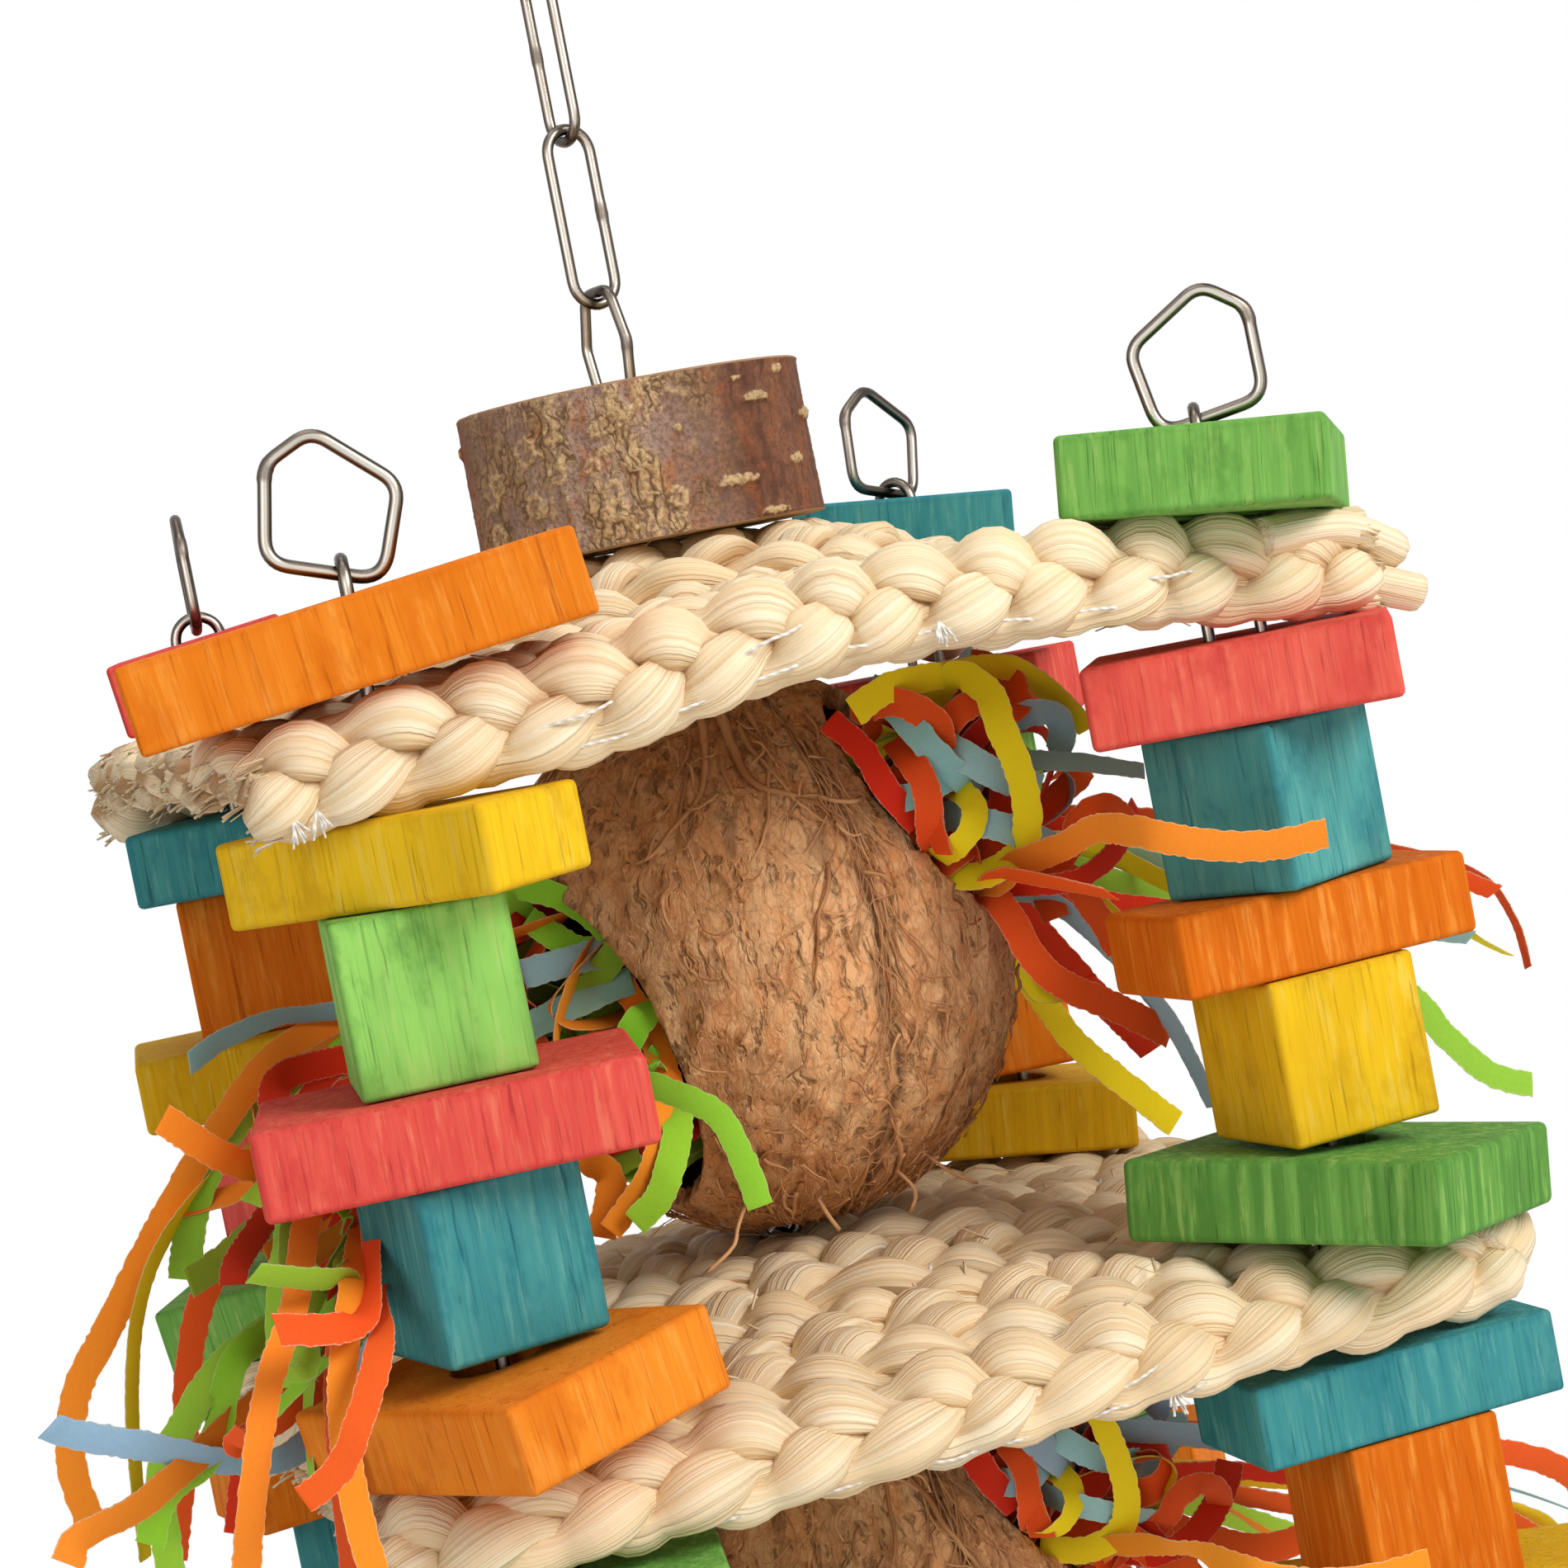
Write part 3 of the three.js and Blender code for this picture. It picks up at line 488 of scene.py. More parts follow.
# Hanging chain, corner chains and rings, all bent from round wire
chainWork = {
    "wire": 2.8, "linkLength": 46, "linkWidth": 14.8, "quickWire": 4.5, "quickLength": 48, "quickWidth": 25,
    "sleeveRadius": 4.4, "sleeveLength": 16, "sleeveRound": 0.5, "ringWire": 3, "ringBend": 6, "ringEye": 4,
    "ringWeld": (-15, 19), "ringPlay": 0.3, "wideRing": 24, "wideBend": 5,
    "ringCorners": [(-6.9, 28.9), (-15.4, 20.5), (-12.5, 0), (12.5, 0), (12.9, 20.5)],
    "turn": 15, "bite": 2.3, "sides": 10, "step": 1.1, "weldLength": 5, "weldSwell": 0.12, "weldDrop": -21,
    "sliceWeld": (-9.3, -14),
    "sliceOutline": [(5.6, 0), (-5.6, 0), (-9.6, -13), (-5.6, -36), (5.6, -36), (9.6, -13)], "sliceRound": 4.5,
}


def linkOutline(drop, span):
    radius, points = span / 2, []
    for level, start in ((-radius, 0), (radius - drop, pi)):
        for k in range(13):
            angle = start + pi * k / 12
            points.append((radius * cos(angle), level + radius * sin(angle)))
    return points


def bentOutline(corners, bend):
    points = []
    for i, corner in enumerate(corners):
        corner = Vector(corner)
        toBefore = (Vector(corners[i - 1]) - corner).normalized()
        toAfter = (Vector(corners[(i + 1) % len(corners)]) - corner).normalized()
        setBack = bend / tan(toBefore.angle(toAfter) / 2)
        start, end = corner + toBefore * setBack, corner + toAfter * setBack
        points += [(1 - t) ** 2 * start + 2 * t * (1 - t) * corner + t * t * end for t in (k / 8 for k in range(9))]
    return points


def ringOutline(eye):
    return bentOutline([(x - eye, z) for x, z in chainWork["ringCorners"]], chainWork["ringBend"])


def wideRingOutline(radius):
    rise = radius * cos(pi / 5)
    turns = [pi / 2 + tau * i / 5 for i in range(5)]
    return bentOutline([(radius * cos(turn), rise + radius * sin(turn)) for turn in turns], chainWork["wideBend"])


def addLoop(bm, layers, outline, wire, turn, place, seed, weldAt=None, flip=False, lean=0.0):
    stand = Matrix.Rotation(radians(turn), 3, "Z") @ Matrix.Rotation(radians(lean), 3, "Y")
    across, through, up = stand.col
    place = Vector(place)
    dense = [place + across * (x * mm) + up * ((-z if flip else z) * mm) for x, z in outline]
    path = evenPath(dense + dense[:1], chainWork["step"] * mm, True)
    weld = [0.0] * len(path)
    if weldAt is not None:
        spot = place + across * (weldAt[0] * mm) + up * ((-weldAt[1] if flip else weldAt[1]) * mm)
        weld = [max(0.0, 1 - (point - spot).length / (chainWork["weldLength"] * mm / 2)) for point in path]
    half = wire / 2 * mm
    def shape(i, turn):
        worn = weld[i % len(path)]
        swell = 1 + chainWork["weldSwell"] * min(1, 3 * worn) * (0.7 + 0.6 * noise.noise((i * 0.9, turn, seed)))
        return half * swell, half * swell, min(1.0, 2.5 * worn)
    addRun(bm, layers, path, half, half, chainWork["sides"], seed, True, through, shape)


def nodePlace(node):
    low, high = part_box(node)
    return (low + high) / 2, low, high


def wirePiece(node, bm, body, ending="_wire"):
    newRuns(node + ending, bm, steel, body, [node])


def makeHangingChain():
    work = chainWork
    wire, span = work["wire"], work["linkWidth"] - work["wire"]
    quickSpan, drop = work["quickWidth"] - work["quickWire"], work["quickLength"] - work["quickWire"]
    top = nodePlace("quick_link")[2].z - work["quickWire"] / 2 * mm
    bm, layers = startMesh()
    addLoop(bm, layers, linkOutline(drop, quickSpan), work["quickWire"], work["turn"], (0, 0, top), 1.0)
    bearing = radians(work["turn"])
    leg = Vector((cos(bearing), sin(bearing), 0)) * (quickSpan / 2 * mm) + Vector((0, 0, top - drop / 2 * mm))
    nut = bmesh.ops.create_cone(bm, cap_ends=True, segments=6, radius1=work["sleeveRadius"] * mm,
                                radius2=work["sleeveRadius"] * mm, depth=work["sleeveLength"] * mm)["verts"]
    bmesh.ops.translate(bm, verts=nut, vec=leg)
    rims = [edge for edge in bm.edges if edge.verts[0] in nut]
    bmesh.ops.bevel(bm, geom=rims, offset=work["sleeveRound"] * mm, segments=2, profile=0.5, affect="EDGES",
                    material=-1)
    wirePiece("quick_link", bm, "hook_link", "_bent")
    link, bent = linkOutline(work["linkLength"] - wire, span), bentOutline(work["sliceOutline"], work["sliceRound"])
    for node, body, outline, turn, seed, weldAt in (
            ("upper_chain_link", "upper_link", link, 90, 2.0, (span / 2, work["weldDrop"])),
            ("lower_chain_link", "lower_link", link, 0, 3.0, (span / 2, work["weldDrop"])),
            ("slice_link", "tower", bent, 90, 4.0, work["sliceWeld"])):
        top = nodePlace(node)[2].z - wire / 2 * mm
        bm, layers = startMesh()
        addLoop(bm, layers, outline, wire, work["turn"] + turn, (0, 0, top), seed, weldAt)
        wirePiece(node, bm, body)


def addChain(bm, layers, x, y, top, drop, firstTurn, seed):
    work = chainWork
    wire, span, bite = work["wire"], work["linkWidth"] - work["wire"], work["bite"]
    count = max(1, round((drop + bite) / (work["linkLength"] - wire + bite - 2 * wire)))
    pitch = (drop + (count - 1) * bite) / count
    for i in range(count):
        level = top - i * (pitch - bite) * mm
        addLoop(bm, layers, linkOutline(pitch, span), wire, firstTurn + 90 * i, (x, y, level), seed + i,
                (span / 2, -pitch / 2))
    return firstTurn + 90 * (count - 1)


ringTurns = {"front_left": (-10, 19), "front_right": (155, 9), "back_left": (82, 6),
             "back_right": (29, 12)}  # turn and lean of the top rings


def makeCornerChains():
    work = chainWork
    wire, ringWire = work["wire"], work["ringWire"]
    seat = (ringWire / 2 + wire / 2 + work["ringPlay"]) * mm
    weldX, weldZ = work["ringWeld"]
    for k, (corner, (turn, lean)) in enumerate(ringTurns.items()):
        middle = nodePlace(corner + "_cube_1")[0]
        eyeTop = nodePlace(corner + "_chain")[2].z - wire / 2 * mm
        footBar = nodePlace(corner + "_foot_ring")[2].z - ringWire / 2 * mm
        bm, layers = startMesh()
        last = addChain(bm, layers, middle.x, middle.y, eyeTop, (eyeTop - footBar + seat) / mm, turn + 90,
                        10.0 + 10 * k)
        wirePiece(corner + "_chain", bm, "tower")
        topBar = eyeTop - seat / cos(radians(lean))
        for ring, bar, bearing, slope, eye in (("_top_ring", topBar, turn, lean, work["ringEye"]),
                                               ("_foot_ring", footBar, last + 90, 0, 0)):
            bm, layers = startMesh()
            addLoop(bm, layers, ringOutline(eye), ringWire, bearing, (middle.x, middle.y, bar), 50.0 + k,
                    (weldX - eye, weldZ), ring == "_foot_ring", slope)
            wirePiece(corner + ring, bm, corner + ring)
    low, high = nodePlace("centre_chain")[1:]
    ringDrop = work["wideRing"] * (1 + cos(pi / 5))  # bar to far corner
    cornerCut = work["wideBend"] * (1 / sin(radians(54)) - 1) / 2  # what the bend takes off that corner
    bar = low.z + (ringDrop + ringWire / 2 - cornerCut) * mm
    top = high.z - wire / 2 * mm
    bm, layers = startMesh()
    last = addChain(bm, layers, 0, 0, top, (top - bar) / mm + ringWire / 2 + wire / 2 - 0.5, work["turn"], 70.0)
    addLoop(bm, layers, wideRingOutline(work["wideRing"]), ringWire, last + 90, (0, 0, bar), 80.0, None, True)
    wirePiece("centre_chain", bm, "tower")


makeHangingChain()
makeCornerChains()
print("chains and rings bent")


# Wood blocks, each with rounded edges and a hole for its chain
blockWork = {"cube": 38, "flat": 19, "bore": 17, "leaningBore": 20, "round": 1.4, "boreRound": 0.7, "ringSteps": 24,
             "lean": 6.84, "crooked": 0.35, "sharp": 1.2}
leaningFlats = {"top_flat", "flat_3"}  # these lie on a mat and lean with it
columns = {
    "front_left": [("top_flat", "orange", 98, 45, -11, 0.4), ("flat_1", "yellow", 73, 34, -51, 0.85),
                   ("cube_1", "green", 38, 38, -8, 1.0), ("flat_2", "red", 82, 57, -12, 0.45),
                   ("cube_2", "blue", 38, 38, 10, 0.6), ("flat_3", "orange", 76, 57, -65, 0.75),
                   ("flat_4", "green", 76, 57, -12, 0.3), ("cube_3", "yellow", 38, 38, 20, 0.5),
                   ("flat_5", "blue", 76, 38, 35, 0.5)],
    "front_right": [("top_flat", "green", 76, 60, 60, 0.45), ("flat_1", "red", 70, 57, -27, 0.7),
                    ("cube_1", "blue", 38, 38, 26, 0.8), ("flat_2", "orange", 75, 38, 2, 0.08),
                    ("cube_2", "yellow", 38, 38, 4, 0.7), ("flat_3", "green", 78, 64, -52, 0.15),
                    # front_right cube_3 has paleness 0, which also paints in the shade that flat_4 casts on it
                    ("flat_4", "blue", 76, 38, -1, 0.4), ("cube_3", "orange", 38, 38, 1, 0.0),
                    ("flat_5", "yellow", 76, 57, -30, 0.5)],
    "back_left": [("top_flat", "red", 76, 46, 80, 0.5), ("flat_1", "blue", 76, 38, 65, 0.5),
                  ("cube_1", "orange", 38, 38, -10, 0.2), ("flat_2", "yellow", 76, 57, -8, 0.3),
                  ("cube_2", "red", 38, 38, 15, 0.5), ("flat_3", "green", 76, 57, -30, 0.5),
                  ("flat_4", "orange", 76, 38, 10, 0.5), ("cube_3", "blue", 38, 38, -20, 0.5),
                  ("flat_5", "red", 76, 57, 40, 0.5)],
    "back_right": [("top_flat", "blue", 76, 60, 70, 0.5), ("flat_1", "red", 76, 38, -40, 0.5),
                   ("cube_1", "green", 38, 38, 30, 0.5), ("flat_2", "blue", 76, 38, 70, 0.5),
                   ("cube_2", "orange", 38, 38, -14, 0.5), ("flat_3", "yellow", 66, 57, -20, 0.3),
                   ("flat_4", "red", 76, 57, 15, 0.5), ("cube_3", "green", 38, 38, 5, 0.5),
                   ("flat_5", "orange", 76, 38, -35, 0.5)],
}  # from the top: name, dye, length, width, turn, how pale the dye is


def makeBlock(corner, name, colour, length, width, turn, pale, seed):
    work, node, rng = blockWork, corner + "_" + name, random.Random(seed)
    tall = work["cube"] if name.startswith("cube") else work["flat"]
    bore = work["leaningBore"] if name in leaningFlats else work["bore"]
    steps, perSide = work["ringSteps"], work["ringSteps"] // 4
    isVert = lambda part: isinstance(part, bmesh.types.BMVert)
    bm = bmesh.new()
    bmesh.ops.create_circle(bm, segments=steps, radius=bore / 2)
    outer = [part for part in bmesh.ops.extrude_edge_only(bm, edges=list(bm.edges))["geom"] if isVert(part)]
    corners = [Vector((sx * length / 2, sy * width / 2, 0)) for sx, sy in ((1, 1), (-1, 1), (-1, -1), (1, -1))]
    corners = [c + Vector((rng.uniform(-1, 1), rng.uniform(-1, 1), 0)) * work["crooked"] for c in corners]
    for vert in outer:  # the circle's copies go out to the block's outline
        k = round((atan2(vert.co.y, vert.co.x) - pi / 4) / tau * steps) % steps
        side, part = divmod(k, perSide)
        vert.co = corners[side].lerp(corners[(side + 1) % 4], part / perSide)
    lifted = bmesh.ops.extrude_face_region(bm, geom=list(bm.faces), use_keep_orig=True)["geom"]
    bmesh.ops.translate(bm, verts=[part for part in lifted if isVert(part)], vec=(0, 0, tall))
    bmesh.ops.translate(bm, verts=bm.verts, vec=(0, 0, -tall / 2))
    bmesh.ops.recalc_face_normals(bm, faces=bm.faces)
    sharp = lambda edge: len(edge.link_faces) == 2 and edge.calc_face_angle(0) > work["sharp"]
    inner = lambda edge: all(vert.co.xy.length < bore / 2 + 0.1 for vert in edge.verts)
    arrises = [edge for edge in bm.edges if sharp(edge) and not inner(edge)]
    bmesh.ops.bevel(bm, geom=arrises, offset=work["round"] * rng.uniform(0.8, 1.3), segments=3, profile=0.5,
                    affect="EDGES", material=-1)
    rims = [edge for edge in bm.edges if sharp(edge) and inner(edge)]
    bmesh.ops.bevel(bm, geom=rims, offset=work["boreRound"], segments=2, profile=0.5, affect="EDGES", material=-1)
    spot, reach = bm.verts.layers.float_vector.new("woodSpot"), bm.verts.layers.float_vector.new("woodReach")
    own, paleness = bm.verts.layers.float.new("woodSeed"), bm.verts.layers.float.new("woodPale")
    for vert in bm.verts:
        vert[spot], vert[own], vert[paleness] = vert.co * mm, seed * 1.7, pale
        vert[reach] = Vector((length, width, tall)) * (mm / 2)
    lean = radians(work["lean"]) * (1 if corner.endswith("right") else -1) if name in leaningFlats else 0
    bm.transform(Matrix.Translation(nodePlace(node)[0]) @ Matrix.Rotation(lean, 4, "Y")
                 @ Matrix.Rotation(radians(turn), 4, "Z") @ Matrix.Scale(mm, 4))
    evenNormals(newPiece(node + "_block", bm, [woods[colour]], node, [node]))


blockRows = [(corner, *block) for corner, blocks in columns.items() for block in blocks]
for number, row in enumerate(blockRows):
    makeBlock(*row, seed=number + 1)
print("blocks cut:", len(blockRows))


# Braided mats: rows of three-strand plait, stitched edge to edge
matWork = {
    "half": 135, "rows": 11, "rowWidth": 24, "bulge": 14, "thick": 22, "arch": 6, "spacing": 100, "domeRadius": 87.2,
    "domeTop": 32, "shift": 4, "wide": 6.8, "tall": 4.3, "step": 2.0, "sides": 16, "sway": 6.5, "lift": 3.6,
    "edgeDrop": 2.5, "innerRise": 2.5, "boxy": 2.7, "uneven": 5, "roll": 8,
    "turnBack": 20, "turnLap": 6, "turnWide": 6.0, "turnTall": 5.2, "turnSides": 10,
    "brush": 14, "brushLength": (3, 7), "hairs": 110, "threadRadius": 0.42, "edgeThread": 0.45, "tailThread": 0.3,
    "stitchStep": 75, "stitchSpread": (0.6, 1.4), "edgeOut": 11, "tails": (-124, -119, 20), "tailStrands": 9,
}
matShapes = {
    "top_mat": {
        "dome": 14, "sag": 0.0, "wave": 1.0, "extra": 0,  # how the edges sag or wave, and extra reach at the right
        "edgeRoll": 68, "period": 58, "hollow": 12,  # the last: how far from its core a plait is out of the painted shade in its creases
        "firstTurn": 1, "stitches": (-64, -20, 74),
        "stubs": [([(102, -3, 4), (124, 0, 6), (141, 3, 1)], 6.0), ([(104, 5, -4), (124, 3, -5), (144, 0, -9)], 5.8),
                  ([(100, 12, 3), (120, 12, 6), (137, 12, 8)], 5.4)]},
    "mid_mat": {"dome": 7, "sag": 1.0, "wave": 0.0, "extra": 12, "edgeRoll": 40, "period": 66, "hollow": 9.5,
                "firstTurn": 0, "stitches": (30,), "stubs": []},
}


def smoothly(value, low, high):
    t = min(1.0, max(0.0, (value - low) / (high - low)))
    return t * t * (3 - 2 * t)


def matPoint(x, y, z, spec, level):  # a point of the flat mat, once the mat is arched, domed and waved
    work = matWork
    rowsHalf = work["rows"] * work["rowWidth"] / 2
    arch = work["arch"] * (1 - spec["sag"] * min(1, abs(y) / rowsHalf) ** 3)
    edge = spec["wave"] * min(1, abs(y) / rowsHalf) ** 4
    z += edge * (5 * smoothly(x, -60, 0) - 2.5 * smoothly(x, 50, 100) - 1.5 - 2.5 * exp(-((x + 58) / 22) ** 2))
    y *= 1 - work["bulge"] * (x / work["half"]) ** 2 / rowsHalf
    out = min(1, max(0, hypot(x, y) - work["domeTop"]) / (work["domeRadius"] - work["domeTop"]))
    rise = arch * (1 - (x / work["spacing"]) ** 2) + spec["dome"] * (1 + cos(pi * out)) / 2
    return Vector(((x + work["shift"]) * mm, y * mm, level + (z + rise) * mm))


def plaitRow(bm, layers, row, seed, rng, place, spec):  # one row of three strands, and where they are cut off
    work, last, edgeRoll, firstTurn = matWork, matWork["rows"] - 1, spec["edgeRoll"], spec["firstTurn"]
    middle = (row - last / 2) * work["rowWidth"]
    heading, start = (1 if row % 2 else -1), rng.uniform(0, tau)
    innerRoll = rng.uniform(-work["roll"], work["roll"])
    roll = radians({0: edgeRoll, last: -edgeRoll}.get(row, innerRoll))  # the edge rows face out
    c, s = cos(roll), sin(roll)
    drop = work["edgeDrop"] if row in (0, last) else -work["innerRise"]
    turnsBack = firstTurn <= row < firstTurn + 2 * ((last + 1 - firstTurn) // 2)
    left = work["half"] - rng.uniform(0, work["uneven"])
    short = work["turnBack"] - work["turnLap"] if turnsBack else rng.uniform(0, work["uneven"])
    right = work["half"] + spec["extra"] - short
    count = round((left + right) / work["step"])
    ends = []
    for strand in range(3):
        own = seed * 40 + row * 3 + strand
        flat, plump = [], []
        for i in range(count + 1):
            x = -left + (left + right) * i / count
            angle = heading * tau * x / spec["period"] + start + strand * tau / 3
            angle += 0.8 * noise.noise((x * 0.03, row * 3.1, seed))
            wander = noise.noise_vector((x * 0.035, own * 1.7, seed))
            y, z = work["sway"] * sin(angle) + wander.y, work["lift"] * sin(2 * angle) + wander.z * 0.5
            flat.append((x, middle + y * c - z * s, y * s + z * c - drop))
            plump.append(0.7 + 0.38 * abs(sin(2 * angle - 0.35)))
        def shape(i, turn):
            x, y, z = flat[i]
            over, up, power = cos(turn), sin(turn), work["boxy"]
            swell = plump[i] * (1 + 0.16 * noise.noise((x * 0.06, own * 2.3, 4.0)))
            folds = noise.noise((over * 1.6 + own, up * 1.6, x * 0.05))
            boxy = (abs(over) ** power + abs(up) ** power) ** (-1 / power)
            ridge = boxy * (1 + 0.05 * sin(5 * turn + own + x * 0.04) + 0.16 * folds)
            end = min(1.0, 0.6 + 0.4 * min(i, count - i) / 3)
            w, h = work["wide"] * swell * ridge * end, work["tall"] * swell * ridge * end
            # the third value is how far this point lies out from the row's core, scaled; the husk finish paints shade
            # in the creases where it is small
            yOut = y - middle - c * w * over - s * h * up
            zOut = z + drop - s * w * over + c * h * up
            return w * mm, h * mm, hypot(yOut, zOut) / spec["hollow"]
        addRun(bm, layers, [place(*point) for point in flat], work["wide"] * mm, work["tall"] * mm, work["sides"], own,
               False, Vector((0, -s, c)), shape)
        ends += [(flat[0], -1)] if turnsBack else [(flat[0], -1), (flat[-1], 1)]
    return ends


def braidMat(node, seed, rng, place, spec):
    work, last = matWork, matWork["rows"] - 1
    bm, layers = startMesh()
    def addHusk(points, wide, tall, own, out):
        def shape(i, turn):
            bumpy = 1 + 0.1 * noise.noise((i * 0.14, turn, own))
            return wide * mm * bumpy, tall * mm * bumpy, out
        addRun(bm, layers, smoothPath(points, work["step"] * mm), wide * mm, tall * mm, work["turnSides"], own, False,
               None, shape)
    ends = []
    for row in range(work["rows"]):
        ends += plaitRow(bm, layers, row, seed, rng, place, spec)
    tip = work["half"] + spec["extra"] - work["turnBack"]
    for first in range(spec["firstTurn"], last, 2):  # the plait turns back into the next row at the right end
        middle = (first + 0.5 - last / 2) * work["rowWidth"]
        for strand in range(3):
            points = []
            for k in range(9):
                turn = pi * (k / 8 - 0.5)
                around = 2.6 * turn + strand * tau / 3 + first
                out = work["rowWidth"] / 2 - 0.5 + 4 * cos(around)
                points.append(place(tip + out * cos(turn), middle + out * sin(turn), 4 * sin(around)))
            addHusk(points, work["turnWide"], work["turnTall"], seed * 50 + first + strand * 7, 0.95)
    front = -last / 2 * work["rowWidth"]
    for k, (points, thick) in enumerate(spec["stubs"]):  # cut ends at the front right corner
        addHusk([place(x, front + y, z) for x, y, z in points], thick, thick * 0.8, 700 + k * 3, 0.75)
    newRuns(node + "_braid", bm, husk, "tower", [node])
    return ends


def frayMat(node, rng, place, ends):
    work = matWork
    bm, layers = startMesh()
    def addSliver(points, broad, thin, out):
        addRun(bm, layers, smoothPath(points, 3 * mm), broad * mm, thin * mm, 4, rng.uniform(0, 90), False, None,
               lambda i, turn: (broad * mm, thin * mm, out))
    for (x, y, z), way in ends:  # cut ends, like a brush
        for k in range(work["brush"]):
            length, lean, drop = rng.uniform(*work["brushLength"]), rng.uniform(-0.25, 0.25), rng.uniform(-0.35, 0.15)
            dy, dz = rng.uniform(-5, 5), rng.uniform(-4.5, 4.5)
            points = [place(x + way * (length * t - 5), y + dy + lean * length * t, z + dz + drop * length * t * t)
                      for t in (0, 0.5, 1)]
            addSliver(points, rng.uniform(0.4, 1.5), 0.3, 0.7)
    for k in range(work["hairs"]):  # husk hairs that stand out of the plaits
        x, y = rng.uniform(-120, 115), rng.uniform(-120, 120)
        way, side = rng.uniform(-12, 12), rng.choice((-1, 1))
        addSliver([place(x + way * t, y + 4 * t, side * (9.5 + 2.5 * t)) for t in (0, 0.5, 1)], 0.4, 0.18, 1.0)
    newRuns(node + "_fray", bm, husk, "tower", ())


def stitchMat(node, rng, place, spec):
    work, last, fifths = matWork, matWork["rows"] - 1, (-1, -0.5, 0, 0.5, 1)
    bm, layers = startMesh()
    def addThread(points, radius):
        addRun(bm, layers, smoothPath(points, 2 * mm), radius * mm, radius * 0.85 * mm, 5, rng.uniform(0, 9))
    for row in range(last):  # stitches between the rows
        y, x = (row + 0.5 - last / 2) * work["rowWidth"], -work["half"] + rng.uniform(8, 60)
        while x < work["half"] - 12:
            slant = rng.uniform(2, 6)
            for side in (-1, 1):
                addThread([place(x + slant * t, y + 4.5 * t, side * (7.6 - 4 * (1 - t * t))) for t in fifths],
                          work["threadRadius"])
            x += work["stitchStep"] * rng.uniform(*work["stitchSpread"])
    for face in (-1, 1):
        edge = face * (last / 2 * work["rowWidth"] + work["edgeOut"])
        for x in spec["stitches"]:  # stitches that show on the edge rows
            addThread([place(x + 9 * t, edge - face * (2.4 * abs(t) + 1.2 * t * t),
                             -4 + 1.4 * t + rng.uniform(-0.5, 0.5)) for t in fifths], work["edgeThread"])
        leftTail, nextTail, rightTail = work["tails"]
        for x in (leftTail, nextTail, rightTail + rng.uniform(-20, 20)):  # loose tails
            for k in range(work["tailStrands"]):
                fan, length = rng.uniform(-1, 1), rng.uniform(3, 6)
                addThread([place(x + fan * 2.5 * t, edge + face * (2.5 * t - 2), -8 - length * t) for t in (0, 0.5, 1)],
                          work["tailThread"])
        slack = [place(-70 + 8 * k, edge - face * 3.5, -9.2 - rng.uniform(0, 1.6)) for k in range(18)]
        addThread(slack, work["edgeThread"])  # string drawn along under the edge row
    newRuns(node + "_string", bm, thread, "tower")


def makeMat(node, seed, spec):
    work, rng = matWork, random.Random(seed)
    archFoot = work["arch"] * ((work["half"] / work["spacing"]) ** 2 - 1)
    level = nodePlace(node)[1].z + (work["thick"] / 2 + archFoot) * mm
    place = lambda x, y, z: matPoint(x, y, z, spec, level)
    ends = braidMat(node, seed, rng, place, spec)
    frayMat(node, rng, place, ends)
    stitchMat(node, rng, place, spec)


for number, (node, spec) in enumerate(matShapes.items()):
    makeMat(node, number + 1, spec)
print("mats braided")


# Log slice with bark
sliceWork = {
    "radius": 44, "tall": 38, "bore": 11, "shift": 3, "steps": 300, "levels": 44, "rings": 9, "boreLevels": 4,
    "flakeBearing": -128, "ridge": 1.3, "lump": 0.8, "skin": 1.2, "arris": 0.5,
    "knots": [(-144, 26, 3.5), (-144, 13, 3), (-134, 19.5, 2.6), (-122, 19.6, 2.2), (-118, 8, 3), (-108, 19, 2.9),
              (-97, 8.5, 2.6), (-98, 3, 2.6), (-110, 1.5, 3), (-160, 20, 3), (-165, 8, 3.2)],  # bearing, height, radius
    "scars": [(-62, 29, 5.2, 1.5), (-50, 35, 3, 1.2), (-76, 10.3, 6.4, 1.6), (-47, 13, 4, 1.6), (-64, 1.8, 5, 1.3),
              (-70, 34, 2.2, 0.9), (-30, 24, 7, 1.6), (0, 10, 6, 1.5), (24, 30, 7, 1.5), (60, 17, 6, 1.6),
              (95, 28, 6, 1.4), (130, 9, 7, 1.5), (165, 30, 6, 1.5)],  # bearing, height, half width, half height
}


def barkLift(at, bearing, flaky):  # how far the bark stands out there, 0 to 1
    work = sliceWork
    def apart(markBearing, markZ, wide, high):
        arc = remainder(bearing - radians(markBearing), tau) * work["radius"]
        return hypot(arc / wide, (at.z - markZ) / high)
    sway = 3 * noise.noise(Vector((at.x * 0.05, at.y * 0.05, at.z * 0.12)))
    cord = noise.noise(Vector(((at.x + sway) * 0.13, (at.y + sway) * 0.13, at.z * 0.035)))
    lift = max(0, 1 - abs(cord) * 11) * flaky  # wavy cords that run up the flaky side
    lift = max(lift, 0.9 * flaky * max(0, noise.noise(at * 0.2 + Vector((7, 2, 4))) - 0.28) * 3)
    for markBearing, markZ, size in work["knots"]:
        far = apart(markBearing, markZ, size, size) + 0.25 * noise.noise(at * 0.45)
        lift = max(lift, exp(-((far - 0.8) / 0.22) ** 2), 0.45 if far < 0.5 else 0)
    for mark in work["scars"]:
        far = apart(*mark) + 0.5 * noise.noise(at * 0.7)
        lift = max(lift, min(0.72, max(0, 2.2 - 2 * far)))
    return min(1.0, lift)


